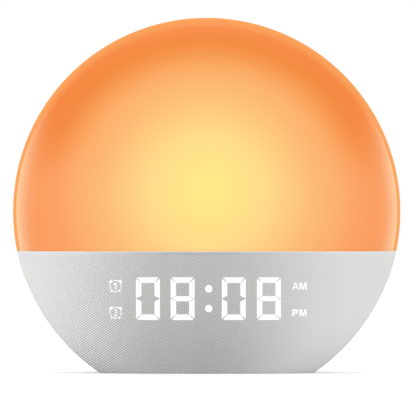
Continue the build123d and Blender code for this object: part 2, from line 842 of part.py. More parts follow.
# ---------------------------------------------------------------- base plate, pad and battery
plate_slab = slab(base_height, base_top)
pad_length = pad_rear - pad_front
pad_y = (pad_rear + pad_front) / 2
screw_seat_height = base_height + screw_head_height
door_top = base_height + door_thickness
power_board_bottom = inlet_level - inlet_height / 2 - board_thickness
power_posts = [(inlet_x + side * power_post_offset, power_post_y) for side in (-1, 1)]
holder_top = base_top + cell_thickness + cell_contact_rise
cell_hole = cell_radius + cell_clearance
with BuildPart() as base_plate:
    add(front_body(inside_front + fit_gap))
    add(rear_body(rear_wall + fit_gap))
    add(plate_slab, mode=Mode.INTERSECT)
    with BuildSketch(level(base_top)):
        with Locations((door_screw_x, door_y)):
            Circle(small_boss_radius)
    extrude(amount=base_boss_height)
    with BuildSketch(level(base_top)):
        with Locations(*power_posts):
            Circle(small_boss_radius)
    extrude(amount=power_board_bottom - base_top)
    with BuildSketch(level(base_height)):
        with Locations((0, pad_y)):
            RectangleRounded(pad_width + 2 * fit_gap, pad_length + 2 * fit_gap, pad_corner)
    extrude(amount=pad_recess, mode=Mode.SUBTRACT)
    with BuildSketch(level(base_height)):
        with Locations((0, door_y)):
            RectangleRounded(door_width + 2 * fit_gap, door_length + 2 * fit_gap, door_corner)
    extrude(amount=door_thickness, mode=Mode.SUBTRACT)
    with BuildSketch(level(base_height)):
        with Locations((cell_x, door_y)):
            Circle(cell_hole)
        with Locations(*base_screw_places):
            Circle(through_hole)
    extrude(amount=base_thickness, mode=Mode.SUBTRACT)
    with BuildSketch(level(base_height)):
        with Locations(*base_screw_places):
            Circle(head_hole)
    extrude(amount=screw_head_height, mode=Mode.SUBTRACT)
    with BuildSketch(level(door_top)):
        with Locations((door_screw_x, door_y)):
            Circle(thread_hole)
    extrude(amount=base_boss_height, mode=Mode.SUBTRACT)
    with BuildSketch(level(power_board_bottom)):
        with Locations(*power_posts):
            Circle(thread_hole)
    extrude(amount=-small_screw_length, mode=Mode.SUBTRACT)
save(base_plate.part, "base_plate")
save(
    screws(base_screw_length, [downwards(x, y, screw_seat_height) for x, y in base_screw_places]),
    "base_screws",
)

with BuildPart() as base_pad:
    with BuildSketch(level(0)):
        with Locations((0, pad_y)):
            RectangleRounded(pad_width, pad_length, pad_corner)
        with Locations((0, door_y)):
            RectangleRounded(
                door_width + 2 * door_margin,
                door_length + 2 * door_margin,
                door_corner,
                mode=Mode.SUBTRACT,
            )
    extrude(amount=base_height + pad_recess)
    chamfer(base_pad.faces().sort_by(Axis.Z)[0].outer_wire().edges(), base_height / 2)
save(base_pad.part, "base_pad")

with BuildPart() as battery_door:
    with BuildSketch(level(base_height)):
        with Locations((0, door_y)):
            RectangleRounded(door_width, door_length, door_corner)
    extrude(amount=door_thickness)
    with BuildSketch(level(base_height)):
        with Locations((door_screw_x, door_y)):
            Circle(head_hole)
    extrude(amount=screw_head_height, mode=Mode.SUBTRACT)
    with BuildSketch(level(base_height)):
        with Locations((door_screw_x, door_y)):
            Circle(through_hole)
    extrude(amount=door_thickness, mode=Mode.SUBTRACT)
save(battery_door.part, "battery_door")
save(
    screws(base_screw_length, [downwards(door_screw_x, door_y, screw_seat_height)]),
    "battery_door_screw",
)

with BuildPart() as coin_cell:
    with BuildSketch(level(door_top)):
        with Locations((cell_x, door_y)):
            Circle(cell_radius)
    extrude(amount=cell_thickness)
    fillet(coin_cell.edges().filter_by(GeomType.CIRCLE), can_edge)
save(coin_cell.part, "coin_cell")
with BuildPart() as cell_holder:
    with BuildSketch(level(base_top)):
        with Locations((cell_x, door_y)):
            Circle(cell_hole + cell_holder_wall)
    extrude(amount=holder_top + cell_roof - base_top)
    with BuildSketch(level(base_top)):
        with Locations((cell_x, door_y)):
            Circle(cell_hole)
    extrude(amount=holder_top - base_top, mode=Mode.SUBTRACT)
save(cell_holder.part, "cell_holder")
cell_top = door_top + cell_thickness
leaf_reach = cell_radius - cell_contact_inset
with BuildPart() as cell_contact:
    with BuildSketch(Plane(origin=(cell_x, door_y, 0), x_dir=(1, 0, 0), z_dir=(0, -1, 0))):
        with BuildLine():
            Polyline(
                (-leaf_reach, holder_top),
                (0, holder_top),
                (0, holder_top - cell_contact_wall),
                (cell_contact_wall * 3 - leaf_reach, holder_top - cell_contact_wall),
                (leaf_reach / 2, cell_top + cell_contact_wall),
                (leaf_reach, cell_top + 2 * cell_contact_wall),
                (leaf_reach, cell_top + cell_contact_wall),
                (leaf_reach / 2, cell_top),
                (-leaf_reach, holder_top - 2 * cell_contact_wall),
                close=True,
            )
        make_face()
    extrude(amount=cell_contact_width / 2, both=True)
save(cell_contact.part, "cell_contact")

# ---------------------------------------------------------------- rear casing
pocket_floor = rear_pole - pocket_depth
pocket_back = pocket_floor - pocket_wall
inlet_pocket_back = inlet_pocket_floor - pocket_wall
key_hole = key_radius + key_clearance
key_board_rear = (
    pocket_back - key_rest_gap - key_flange_thickness - key_stem_length - key_travel - switch_play
    - switch_button_height - switch_body
)
key_board_front = key_board_rear - board_thickness
snooze_lead_y = key_board_front - snooze_lead_gap
key_board_screw_places = [(x, pocket_level) for x in key_board_screws]
snooze_y = (snooze_back + snooze_front) / 2
snooze_shelf_top = snooze_shelf_bottom + snooze_shelf_thickness
snooze_screw_places = [(side * snooze_screw_x, snooze_y) for side in (-1, 1)]
gasket_face = speaker_face + speaker_gasket_thickness
speaker_screw_places = [
    (speaker_screw_ring * cos(radians(a)), speaker_level + speaker_screw_ring * sin(radians(a)))
    for a in (45, 135, 225, 315)
]
row_pitch = grille_pitch * sqrt(3) / 2
grille_rows = int(grille_radius / row_pitch)
grille_columns = int(grille_radius / grille_pitch) + 1
grille_places = [
    (i * grille_pitch + (j % 2) * grille_pitch / 2, j * row_pitch)
    for j in range(-grille_rows, grille_rows + 1)
    for i in range(-grille_columns, grille_columns + 1)
]
grille_places = [(x, speaker_level + z) for x, z in grille_places if hypot(x, z) <= grille_radius]
rear_slab = slab(base_height, BIG)

with BuildPart() as casing_bosses:
    with BuildSketch(layer(outside)):
        with Locations(*base_joints):
            Circle(boss_radius)
    extrude(amount=outside - parting)
    with BuildSketch(layer(outside)):
        with Locations(*lug_places):
            Circle(boss_radius)
    extrude(amount=outside - parting - tray_wall)
    with BuildSketch(layer(outside)):
        with Locations((0, pocket_level)):
            RectangleRounded(
                pocket_width + 2 * pocket_wall,
                pocket_height + 2 * pocket_wall,
                pocket_corner + pocket_wall,
            )
    extrude(amount=outside - pocket_back)
    with BuildSketch(layer(outside)):
        with Locations(*key_board_screw_places):
            Circle(small_boss_radius)
    extrude(amount=outside - key_board_rear)
    with BuildSketch(layer(outside)):
        with Locations((inlet_x, inlet_level)):
            RectangleRounded(
                inlet_pocket_width + 2 * pocket_wall,
                inlet_pocket_height + 2 * pocket_wall,
                inlet_pocket_corner + pocket_wall,
            )
    extrude(amount=outside - inlet_pocket_back)
    with BuildSketch(layer(outside)):
        with Locations((0, speaker_level)):
            Circle(speaker_radius + speaker_duct_wall / 2)
            Circle(speaker_radius - speaker_duct_wall / 2, mode=Mode.SUBTRACT)
    extrude(amount=outside - gasket_face)
    with BuildSketch(layer(outside)):
        with Locations(*speaker_screw_places):
            Circle(small_boss_radius)
    extrude(amount=outside - speaker_face)
    with BuildSketch(level(base_top)):
        for x, y in base_screw_places:
            if y > parting:
                with Locations((x, y)):
                    Circle(boss_radius)
                with Locations((x + base_rib_length / 2 * (1 if x > 0 else -1), y)):
                    Rectangle(base_rib_length, screw_shank)
    extrude(amount=base_boss_height)
    with BuildSketch(level(deck_bottom - deck_boss_height)):
        for side in (-1, 1):
            with Locations((side * deck_screw_x, deck_ledge_y + rear_depth / 2)):
                Rectangle(deck_ledge_width, rear_depth)
    extrude(amount=deck_boss_height)
    with BuildSketch(level(snooze_shelf_bottom)):
        with Locations((0, snooze_front + rear_depth / 2)):
            Rectangle(snooze_board_width + 2 * fit_gap, rear_depth)
    extrude(amount=snooze_shelf_thickness)
    with BuildSketch(level(snooze_shelf_top - small_screw_length)):
        with Locations(*snooze_screw_places):
            Circle(small_boss_radius)
    extrude(amount=small_screw_length)
    add(rear_body(rear_wall / 2), mode=Mode.INTERSECT)

with BuildPart() as rear_housing:
    add(rear_body(0))
    add(rear_body(rear_wall), mode=Mode.SUBTRACT)
    add(casing_bosses.part)
    add(rear_slab, mode=Mode.INTERSECT)
    with BuildSketch(layer(outside)):
        with Locations(*(base_joints + lug_places)):
            Circle(head_hole)
    extrude(amount=outside - casing_screw_seat, mode=Mode.SUBTRACT)
    with BuildSketch(layer(outside)):
        with Locations(*(base_joints + lug_places)):
            Circle(through_hole)
        with Locations(*grille_places):
            Circle(grille_hole_radius)
    extrude(amount=outside - parting, mode=Mode.SUBTRACT)
    with BuildSketch(layer(outside)):
        with Locations((0, pocket_level)):
            RectangleRounded(pocket_width, pocket_height, pocket_corner)
    extrude(amount=outside - pocket_floor, mode=Mode.SUBTRACT)
    with BuildSketch(layer(pocket_floor)):
        with Locations(*key_places):
            Circle(key_hole)
    extrude(amount=pocket_wall, mode=Mode.SUBTRACT)
    with BuildSketch(layer(outside)):
        with Locations((inlet_x, inlet_level)):
            RectangleRounded(inlet_pocket_width, inlet_pocket_height, inlet_pocket_corner)
    extrude(amount=outside - inlet_pocket_floor, mode=Mode.SUBTRACT)
    with BuildSketch(layer(outside)):
        with Locations((inlet_x, inlet_level)):
            SlotOverall(inlet_width + 2 * fit_gap, inlet_height + 2 * fit_gap)
    extrude(amount=outside - inlet_pocket_back, mode=Mode.SUBTRACT)
    with BuildSketch(layer(speaker_face)):
        with Locations(*speaker_screw_places):
            Circle(thread_hole)
    extrude(amount=-(small_screw_length - speaker_flange), mode=Mode.SUBTRACT)
    with BuildSketch(layer(key_board_rear)):
        with Locations(*key_board_screw_places):
            Circle(thread_hole)
    extrude(amount=-(small_screw_length - board_thickness), mode=Mode.SUBTRACT)
    with BuildSketch(level(base_top)):
        with Locations(*base_screw_places):
            Circle(thread_hole)
    extrude(amount=base_boss_height, mode=Mode.SUBTRACT)
    with BuildSketch(level(snooze_shelf_top)):
        with Locations(*snooze_screw_places):
            Circle(thread_hole)
        with Locations((snooze_lead_x, snooze_lead_y)):
            Circle(lead_radius + led_clearance)
    extrude(amount=-small_screw_length, mode=Mode.SUBTRACT)
    with BuildSketch(level(snooze_shelf_top + switch_body)):
        with Locations((0, snooze_y)):
            Rectangle(snooze_width, snooze_depth)
    extrude(amount=body_radius, mode=Mode.SUBTRACT)
save(rear_housing.part, "rear_housing")
save(
    screws(
        casing_screw_length,
        [to_rear(x, casing_screw_seat, z) for x, z in base_joints + lug_places],
    ),
    "casing_screws",
)

# ---------------------------------------------------------------- keys on the rear
key_names = ("key_set", "key_alarm_two", "key_alarm_one", "key_plus", "key_sound", "key_minus")
key_flange_rear = pocket_back - key_rest_gap
key_flange_front = key_flange_rear - key_flange_thickness
for key_name, key_place in zip(key_names, key_places):
    with BuildPart() as key:
        with BuildSketch(layer(pocket_floor + key_stand)):
            with Locations(key_place):
                Circle(key_radius)
        extrude(amount=pocket_floor + key_stand - key_flange_front)
        fillet(key.edges().sort_by(Axis.Y)[-1], key_edge)
        with BuildSketch(layer(key_flange_rear)):
            with Locations(key_place):
                Circle(key_radius + key_flange)
        extrude(amount=key_flange_thickness)
        with BuildSketch(layer(key_flange_front)):
            with Locations(key_place):
                Circle(key_stem_radius)
        extrude(amount=key_stem_length)
    save(key.part, key_name)
save(
    board(
        key_board_width, pocket_level - key_board_height / 2, pocket_level + key_board_height / 2,
        key_board_rear, key_board_screw_places, through_hole,
    ),
    "button_board",
)
with BuildPart() as button_switches:
    with BuildSketch(layer(key_board_rear + switch_body)):
        with Locations(*key_places):
            Rectangle(switch_size, switch_size)
    extrude(amount=switch_body)
    with BuildSketch(layer(key_board_rear + switch_body + switch_button_height)):
        with Locations(*key_places):
            Circle(switch_button_radius)
    extrude(amount=switch_button_height)
save(button_switches.part, "button_switches")
small_screw_planes += [to_front(x, key_board_front, z) for x, z in key_board_screw_places]

# ---------------------------------------------------------------- snooze bar on top
snooze_half = snooze_width / 2 - snooze_gap
snooze_board_top = snooze_shelf_top + board_thickness
snooze_switch_top = snooze_board_top + switch_body + switch_button_height
snooze_stem_bottom = snooze_switch_top + snooze_travel + switch_play
snooze_under = rear_wall + fit_gap
snooze_top = rear_body(-snooze_stand)
snooze_flange_top = rear_body(snooze_under)
snooze_flange_bottom = rear_body(snooze_under + snooze_flange_thickness)
with BuildPart() as snooze_rim:
    with BuildSketch(level(snooze_stem_bottom)):
        with Locations((0, snooze_y)):
            Rectangle(snooze_width + 2 * snooze_flange, snooze_depth + 2 * snooze_flange)
    extrude(amount=body_radius)
    add(snooze_flange_top, mode=Mode.INTERSECT)
    add(snooze_flange_bottom, mode=Mode.SUBTRACT)
with BuildPart() as snooze_stem:
    with BuildSketch(level(snooze_stem_bottom)):
        with Locations((0, snooze_y)):
            Circle(snooze_stem_radius)
    extrude(amount=body_radius)
    add(snooze_flange_top, mode=Mode.INTERSECT)
with BuildPart() as snooze_bar:
    with BuildSketch(level(snooze_stem_bottom)):
        with Locations((0, snooze_y)):
            Rectangle(2 * snooze_half, snooze_depth - 2 * snooze_gap)
    extrude(amount=body_radius)
    add(snooze_top, mode=Mode.INTERSECT)
    add(snooze_flange_bottom, mode=Mode.SUBTRACT)
    add(snooze_rim.part)
    add(snooze_stem.part)
save(snooze_bar.part, "snooze_bar")

with BuildPart() as snooze_board:
    with BuildSketch(level(snooze_shelf_top)):
        with Locations((0, snooze_y)):
            Rectangle(snooze_board_width, snooze_board_depth)
        with Locations(*snooze_screw_places):
            Circle(through_hole, mode=Mode.SUBTRACT)
    extrude(amount=board_thickness)
save(snooze_board.part, "snooze_board")
with BuildPart() as snooze_switch:
    with BuildSketch(level(snooze_board_top)):
        with Locations((0, snooze_y)):
            Rectangle(switch_size, switch_size)
    extrude(amount=switch_body)
    with BuildSketch(level(snooze_board_top + switch_body)):
        with Locations((0, snooze_y)):
            Circle(switch_button_radius)
    extrude(amount=switch_button_height)
save(snooze_switch.part, "snooze_switch")
small_screw_planes += [upwards(x, y, snooze_board_top) for x, y in snooze_screw_places]

# ---------------------------------------------------------------- speaker, firing to the rear
speaker_plane = level(speaker_level)
basket_step = speaker_face - speaker_flange
terminal_front = basket_step - terminal_length
basket_rear = speaker_face - basket_length
duct_bore = speaker_radius - speaker_duct_wall / 2
pole_bore = pole_radius + coil_gap + coil_wall + coil_gap
cone_face = basket_step + surround_wall
coil_start = basket_rear - magnet_thickness + diaphragm_travel + coil_gap


def revolved_about_speaker(*points):
    """Ring or disc about the speaker's axis, from its half section as (radius, y)."""
    with BuildPart() as ring:
        with BuildSketch(speaker_plane):
            with BuildLine():
                Polyline(*points, close=True)
            make_face()
        revolve(axis=speaker_axis)
    return ring.part


shelf_radius = cone_radius + surround_width
basket_shell = revolved_about_speaker(
    (pole_bore, basket_rear),
    (basket_rear_radius, basket_rear),
    (shelf_radius + basket_lip, basket_step - basket_wall),
    (speaker_radius, basket_step - basket_wall + speaker_flange),
    (speaker_radius, speaker_face),
    (shelf_radius, speaker_face),
    (shelf_radius, basket_step),
    (cone_radius + cone_land, basket_step),
    (basket_rear_radius - basket_wall, basket_rear + basket_wall),
    (pole_bore, basket_rear + basket_wall),
)
with BuildPart() as speaker_basket:
    add(basket_shell)
    with BuildSketch(layer(speaker_face)):
        with Locations(*speaker_screw_places):
            Circle(speaker_tab_radius)
        with Locations((0, speaker_level)):
            Circle(speaker_radius - basket_wall, mode=Mode.SUBTRACT)
    extrude(amount=speaker_flange)
    with BuildSketch(layer(speaker_face)):
        with Locations(*speaker_screw_places):
            Circle(through_hole)
    extrude(amount=speaker_flange, mode=Mode.SUBTRACT)
    with BuildSketch(layer(basket_step)):
        with Locations((speaker_lead_x + terminal_offset, speaker_level)):
            Rectangle(terminal_width, terminal_height)
    extrude(amount=terminal_length)
save(speaker_basket.part, "speaker_basket")
small_screw_planes += [to_front(x, basket_step, z) for x, z in speaker_screw_places]
gasket_outer = speaker_radius - speaker_gasket_margin
save(
    revolved_about_speaker(
        (duct_bore, speaker_face),
        (gasket_outer, speaker_face),
        (gasket_outer, gasket_face),
        (duct_bore, gasket_face),
    ),
    "speaker_gasket",
)
magnet_front = basket_rear - magnet_thickness
save(
    revolved_about_speaker(
        (pole_bore, magnet_front),
        (magnet_radius, magnet_front),
        (magnet_radius, basket_rear),
        (pole_bore, basket_rear),
    ),
    "speaker_magnet",
)
save(
    revolved_about_speaker(
        (0, magnet_front - yoke_thickness),
        (magnet_radius - yoke_inset, magnet_front - yoke_thickness),
        (magnet_radius - yoke_inset, magnet_front),
        (pole_radius, magnet_front),
        (pole_radius, basket_rear + basket_wall),
        (0, basket_rear + basket_wall),
    ),
    "speaker_pole",
)
coil_inner = pole_radius + coil_gap
coil_outer = coil_inner + coil_wall
save(
    revolved_about_speaker(
        (coil_inner, coil_start),
        (coil_outer, coil_start),
        (coil_outer, coil_start + coil_length),
        (coil_inner, coil_start + coil_length),
    ),
    "voice_coil",
)
coil_end = coil_start + coil_length
save(
    revolved_about_speaker(
        (0, coil_end),
        (coil_outer, coil_end),
        (cone_radius - cone_land, basket_step),
        (cone_radius, basket_step),
        (cone_radius, cone_face),
        (cone_radius - cone_land - cone_wall / 2, cone_face),
        (coil_outer - cone_wall / 2, coil_end + cone_wall),
        (0, coil_end + cone_wall),
    ),
    "speaker_cone",
)
roll = (cone_radius + shelf_radius) / 2
with BuildPart() as speaker_surround:
    with BuildSketch(speaker_plane):
        with BuildLine():
            Line((cone_radius, basket_step), (cone_radius, cone_face))
            ThreePointArc(
                (cone_radius, cone_face),
                (roll, cone_face + surround_wall),
                (shelf_radius, cone_face),
            )
            Line((shelf_radius, cone_face), (shelf_radius, basket_step))
            ThreePointArc(
                (shelf_radius, basket_step),
                (roll, basket_step + surround_wall),
                (cone_radius, basket_step),
            )
        make_face()
    revolve(axis=speaker_axis)
save(speaker_surround.part, "speaker_surround")

# ---------------------------------------------------------------- power inlet
power_board_top = power_board_bottom + board_thickness
power_board_rear = inlet_pocket_back - power_board_rear_gap
power_board_front = power_board_rear - power_board_length
inlet_mouth = inlet_pocket_floor + inlet_stand
with BuildPart() as power_inlet:
    with BuildSketch(layer(inlet_mouth)):
        with Locations((inlet_x, inlet_level)):
            SlotOverall(inlet_width, inlet_height)
    extrude(amount=inlet_length)
    with BuildSketch(layer(inlet_mouth)):
        with Locations((inlet_x, inlet_level)):
            SlotOverall(inlet_width - 2 * inlet_wall, inlet_height - 2 * inlet_wall)
    extrude(amount=inlet_length - inlet_floor, mode=Mode.SUBTRACT)
    with BuildSketch(layer(inlet_mouth - inlet_length + inlet_tongue_length)):
        with Locations((inlet_x, inlet_level)):
            Rectangle(inlet_tongue_width, inlet_tongue_height)
    extrude(amount=inlet_tongue_length)
save(power_inlet.part, "power_inlet")
with BuildPart() as power_board:
    with BuildSketch(level(power_board_bottom)):
        with Locations((inlet_x, (power_board_front + power_board_rear) / 2)):
            Rectangle(power_board_width, power_board_rear - power_board_front)
        with Locations(*power_posts):
            Circle(through_hole, mode=Mode.SUBTRACT)
    extrude(amount=board_thickness)
save(power_board.part, "power_board")
small_screw_planes += [upwards(x, y, power_board_top) for x, y in power_posts]
save(screws(small_screw_length, small_screw_planes), "small_screws")

# ---------------------------------------------------------------- leads inside
light_lead = lead(
    lead_radius,
    bend,
    (0, tray_floor, light_lead_level),
    (0, light_lead_depth, light_lead_level),
    (0, light_lead_depth, connector_level),
    (0, connector_rear, connector_level),
)
save(light_lead, "light_lead")
with BuildPart() as speaker_lead:
    with BuildSketch(layer(terminal_front)):
        with Locations((speaker_lead_x, speaker_level)):
            Circle(lead_radius)
    extrude(amount=terminal_front - connector_rear)
save(speaker_lead.part, "speaker_lead")
save(
    lead(
        lead_radius,
        bend,
        (inlet_x, power_lead_y, power_board_top),
        (inlet_x, power_lead_y, speaker_level),
        (inlet_x, connector_rear, speaker_level),
    ),
    "power_lead",
)
save(
    lead(
        lead_radius,
        bend,
        (snooze_lead_x, snooze_lead_y, snooze_shelf_top),
        (snooze_lead_x, snooze_lead_y, snooze_lead_end),
        (snooze_lead_x, key_board_front, snooze_lead_end),
    ),
    "snooze_lead",
)
with BuildPart() as button_ribbon:
    with BuildLine() as ribbon_route:
        FilletPolyline(
            (ribbon_x, key_board_front, ribbon_start),
            (ribbon_x, light_lead_depth, ribbon_start),
            (ribbon_x, light_lead_depth, connector_level),
            (ribbon_x, connector_rear, connector_level),
            radius=bend,
        )
    with BuildSketch(to_front(ribbon_x, key_board_front, ribbon_start)):
        Rectangle(ribbon_width, ribbon_thickness)
    sweep(path=ribbon_route.line)
save(button_ribbon.part, "button_ribbon")
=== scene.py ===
"""Dresses the sunrise alarm clock.

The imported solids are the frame. The lamp, the cloth and the lit marks are new, smooth pieces, and
every solid gets a material of its own. Lengths are metres in the frame of the solids: X to the
right, Y to the back, Z up, with the origin on the table under the clock.
"""

from math import asin, atan2, cos, hypot, pi, radians, sin, sqrt, tau

import bmesh
import bpy
from mathutils import Matrix, Vector
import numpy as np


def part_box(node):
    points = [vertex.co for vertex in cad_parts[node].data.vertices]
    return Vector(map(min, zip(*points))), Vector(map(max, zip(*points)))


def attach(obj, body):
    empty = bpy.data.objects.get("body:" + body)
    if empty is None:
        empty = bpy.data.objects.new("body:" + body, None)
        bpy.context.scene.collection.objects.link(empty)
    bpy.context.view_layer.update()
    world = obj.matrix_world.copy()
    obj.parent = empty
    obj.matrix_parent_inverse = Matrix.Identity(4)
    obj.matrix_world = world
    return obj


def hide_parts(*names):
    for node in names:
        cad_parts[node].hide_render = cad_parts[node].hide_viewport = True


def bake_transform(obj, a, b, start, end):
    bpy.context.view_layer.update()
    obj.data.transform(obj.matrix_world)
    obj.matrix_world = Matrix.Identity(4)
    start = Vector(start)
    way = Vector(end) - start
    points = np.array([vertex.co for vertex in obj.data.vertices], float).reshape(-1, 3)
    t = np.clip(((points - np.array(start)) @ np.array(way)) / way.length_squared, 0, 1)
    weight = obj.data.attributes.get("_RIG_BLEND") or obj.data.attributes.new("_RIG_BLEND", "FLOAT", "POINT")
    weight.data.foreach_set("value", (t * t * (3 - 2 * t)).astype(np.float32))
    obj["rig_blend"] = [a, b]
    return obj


bl_info = {
    "name": "Sunrise alarm clock",
    "version": (1, 0, 0),
    "blender": (4, 5, 0),
    "location": "View3D > Sidebar > Clock",
    "description": "Builds the lamp, cloth, display and finishes of a sunrise alarm clock",
    "category": "Object",
}

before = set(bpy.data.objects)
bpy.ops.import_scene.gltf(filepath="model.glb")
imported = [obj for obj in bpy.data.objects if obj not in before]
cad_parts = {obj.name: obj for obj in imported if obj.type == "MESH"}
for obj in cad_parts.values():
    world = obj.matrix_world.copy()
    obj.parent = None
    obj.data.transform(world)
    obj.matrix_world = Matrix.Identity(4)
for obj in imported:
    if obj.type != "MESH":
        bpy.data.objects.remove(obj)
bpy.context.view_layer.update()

MM = 0.001
SHARP = radians(32)  # faces that meet at less than this are shaded as one smooth surface

ring_low, ring_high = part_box("diffuser_ring")
lamp_low, lamp_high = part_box("light_diffuser")
deck_low, deck_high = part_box("lamp_deck")
cloth_low, cloth_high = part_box("fabric_cover")
BODY_RADIUS = ring_high.x
AXIS_HEIGHT = ring_high.z - BODY_RADIUS
LAMP_RADIUS = lamp_high.x
PARTING = ring_high.y  # where the front meets the rear casing
POLE = lamp_low.y  # the foremost point
FRONT_DEPTH = 30 * MM
SEAT = POLE + FRONT_DEPTH  # where the crowned front starts, behind its rounded shoulder


# ---------------------------------------------------------------- sizes and colours to change
def srgb(code):
    """Linear colour of an sRGB hex value."""
    shares = [int(code[i : i + 2], 16) / 255 for i in (0, 2, 4)]
    return tuple(c / 12.92 if c <= 0.04045 else ((c + 0.055) / 1.055) ** 2.4 for c in shares)


def length(title, words, default):
    """A length to change, in metres."""
    return bpy.props.FloatProperty(
        name=title, description=words, default=default, min=0, precision=5, unit="LENGTH"
    )


def colour(title, words, code):
    """A colour to change, given as an sRGB hex value."""
    return bpy.props.FloatVectorProperty(
        name=title, description=words, default=srgb(code), min=0, max=1, subtype="COLOR"
    )


class ClockSizes(bpy.types.PropertyGroup):
    """Sizes of the dressed pieces."""

    shoulder: length("Shoulder", "Radius of the front's rounded edge", 18 * MM)
    rear_shoulder: length("Rear shoulder", "Radius of the casing's rounded edge", 22 * MM)
    shade_wall: length("Shade wall", "Thickness of the lamp's opal shade", 2 * MM)
    ring_edge: length("Ring edge", "Rounding of the lamp ring's front edge", 0.5 * MM)
    cloth: length("Cloth", "Thickness of the cloth with its backing", 0.8 * MM)
    hem: length("Hem", "How far the cloth is folded in under the base", 3 * MM)
    hem_drop: length("Hem drop", "How far the fold hangs below the base's edge", 0.45 * MM)
    rib_pitch: length("Rib pitch", "Spacing of the cloth's ribs", 0.937 * MM)
    rib_angle: bpy.props.FloatProperty(
        name="Rib angle", description="Rise of the warp ribs to the right",
        default=radians(35), subtype="ANGLE",
    )
    digit_height: length("Digit height", "Height of the time's digits", 19.7 * MM)
    digit_width: length("Digit width", "Width of one digit", 11.1 * MM)
    digit_stroke: length("Digit stroke", "Width of a digit's bars", 2.55 * MM)
    digit_gap: length("Digit gap", "Dark gap between a digit's bars", 0.18 * MM)
    seam: length("Seam", "How far the deck's edge covers the foot of the shade", 0.22 * MM)
    mark_lift: length("Mark lift", "How far a lit mark stands off the cloth", 0.04 * MM)
    mark_depth: length("Mark depth", "Thickness of a lit mark", 0.08 * MM)
    print_depth: length("Print depth", "Thickness of the ink on the keys", 0.03 * MM)


class ClockColours(bpy.types.PropertyGroup):
    """Colours of the dressed pieces."""

    glow: colour("Glow", "The lamp in front of its lights", "ffeb89")
    glow_near: colour("Glow near", "The lamp a quarter of its radius from there", "ffda88")
    glow_half: colour("Glow half", "The lamp half its radius from there", "fcbb77")
    glow_far: colour("Glow far", "The lamp three quarters of its radius from there", "fba162")
    glow_edge: colour("Glow edge", "The lamp at its edge", "f99658")
    # painted reflection: pale light of the side lamps along the lamp's sides
    side_reflection: colour("Glow side", "Pale light along the sides of the lamp", "fcd0a3")
    cloth: colour("Cloth", "The cloth's threads", "c6c7c6")
    light: colour("Display light", "The lit digits and marks", "ffffff")
    casing: colour("Casing", "The rear casing's plastic", "dcdbd7")
    keys: colour("Keys", "The keys on the rear", "c9c9c7")
    ink: colour("Ink", "The marks on the keys", "55585c")


# ---------------------------------------------------------------- drawing helpers
def crown_of(rim, shoulder, depth):
    """Radius of the crown that runs tangent into a rounded shoulder, and the angle it reaches."""
    crown = ((rim - shoulder) ** 2 + depth**2 - shoulder**2) / (2 * (depth - shoulder))
    return crown, asin((rim - shoulder) / (crown - shoulder))


class Section:
    """A half section beside the body axis, drawn by carrying its last vertex on."""

    def __init__(self, bm, x, y):
        self.bm = bm
        self.first = self.last = bm.verts.new((x, y, AXIS_HEIGHT))

    def line(self, x, y):
        """Straight on to a point."""
        self.last = bmesh.ops.extrude_vert_indiv(self.bm, verts=[self.last])["verts"][0]
        self.last.co = (x, y, AXIS_HEIGHT)
        return self

    def turn(self, x, y, angle, steps):
        """On along an arc about a point."""
        made = bmesh.ops.spin(
            self.bm, geom=[self.last], cent=(x, y, AXIS_HEIGHT), axis=(0, 0, 1),
            dvec=(0, 0, 0), angle=angle, steps=steps, use_duplicate=False,
        )
        self.last = next(v for v in made["geom_last"] if isinstance(v, bmesh.types.BMVert))
        return self

    def close(self):
        """Back to where it started."""
        self.bm.edges.new((self.last, self.first))


def spin_section(bm):
    """Turns a half section once round the body axis, with its faces outwards."""
    bmesh.ops.spin(
        bm, geom=bm.verts[:] + bm.edges[:], cent=(0, 0, AXIS_HEIGHT), axis=(0, 1, 0),
        dvec=(0, 0, 0), angle=tau, steps=192, use_merge=True, use_duplicate=False,
    )
    bmesh.ops.remove_doubles(bm, verts=bm.verts, dist=1e-6)
    bmesh.ops.recalc_face_normals(bm, faces=bm.faces)


def slice_at(bm, spot, normal, clear=False):
    """Cuts everything along a plane, and can clear what is behind it."""
    return bmesh.ops.bisect_plane(
        bm, geom=bm.verts[:] + bm.edges[:] + bm.faces[:], dist=1e-7,
        plane_co=spot, plane_no=normal, clear_inner=clear,
    )


def cut(bm, height, side):
    """Cuts a closed shell at a height and closes it. Side 1 keeps the top, -1 the foot."""
    made = slice_at(bm, (0, 0, height), (0, 0, side), clear=True)
    rim = [e for e in made["geom_cut"] if isinstance(e, bmesh.types.BMEdge)]
    bmesh.ops.triangle_fill(bm, edges=rim, use_beauty=True, use_dissolve=False)
    bmesh.ops.recalc_face_normals(bm, faces=bm.faces)


def dome_shell(rim, shoulder, edge, wall):
    """Closed shell of a crowned front: a shallow crown, a rounded shoulder and a straight band."""
    crown, lean = crown_of(rim, shoulder, FRONT_DEPTH)
    middle = SEAT - FRONT_DEPTH + crown
    crown_steps, shoulder_steps = 28, 20
    bm = bmesh.new()
    (
        Section(bm, 0, SEAT - FRONT_DEPTH)
        .turn(0, middle, lean, crown_steps)
        .turn(rim - shoulder, SEAT, pi / 2 - lean, shoulder_steps)
        .line(rim, edge)
        .line(rim - wall, edge)
        .line(rim - wall, SEAT)
        .turn(rim - shoulder, SEAT, lean - pi / 2, shoulder_steps)
        .turn(0, middle, -lean, crown_steps)
    )
    spin_section(bm)
    return bm


def front_surface(x, z, shoulder):
    """Place along Y of the front crown over a point."""
    crown, _ = crown_of(BODY_RADIUS, shoulder, FRONT_DEPTH)
    return POLE + crown - sqrt(crown**2 - x**2 - (z - AXIS_HEIGHT) ** 2)


def upright(x, z, turn=0.0, width=1.0, height=1.0):
    """Matrix that stands a flat shape upright, facing the front, in the plane y = 0."""
    return (
        Matrix.Translation((x, 0, z))
        @ Matrix.Rotation(pi / 2, 4, "X")
        @ Matrix.Rotation(turn, 4, "Z")
        @ Matrix.Diagonal((width, height, 1, 1))
    )


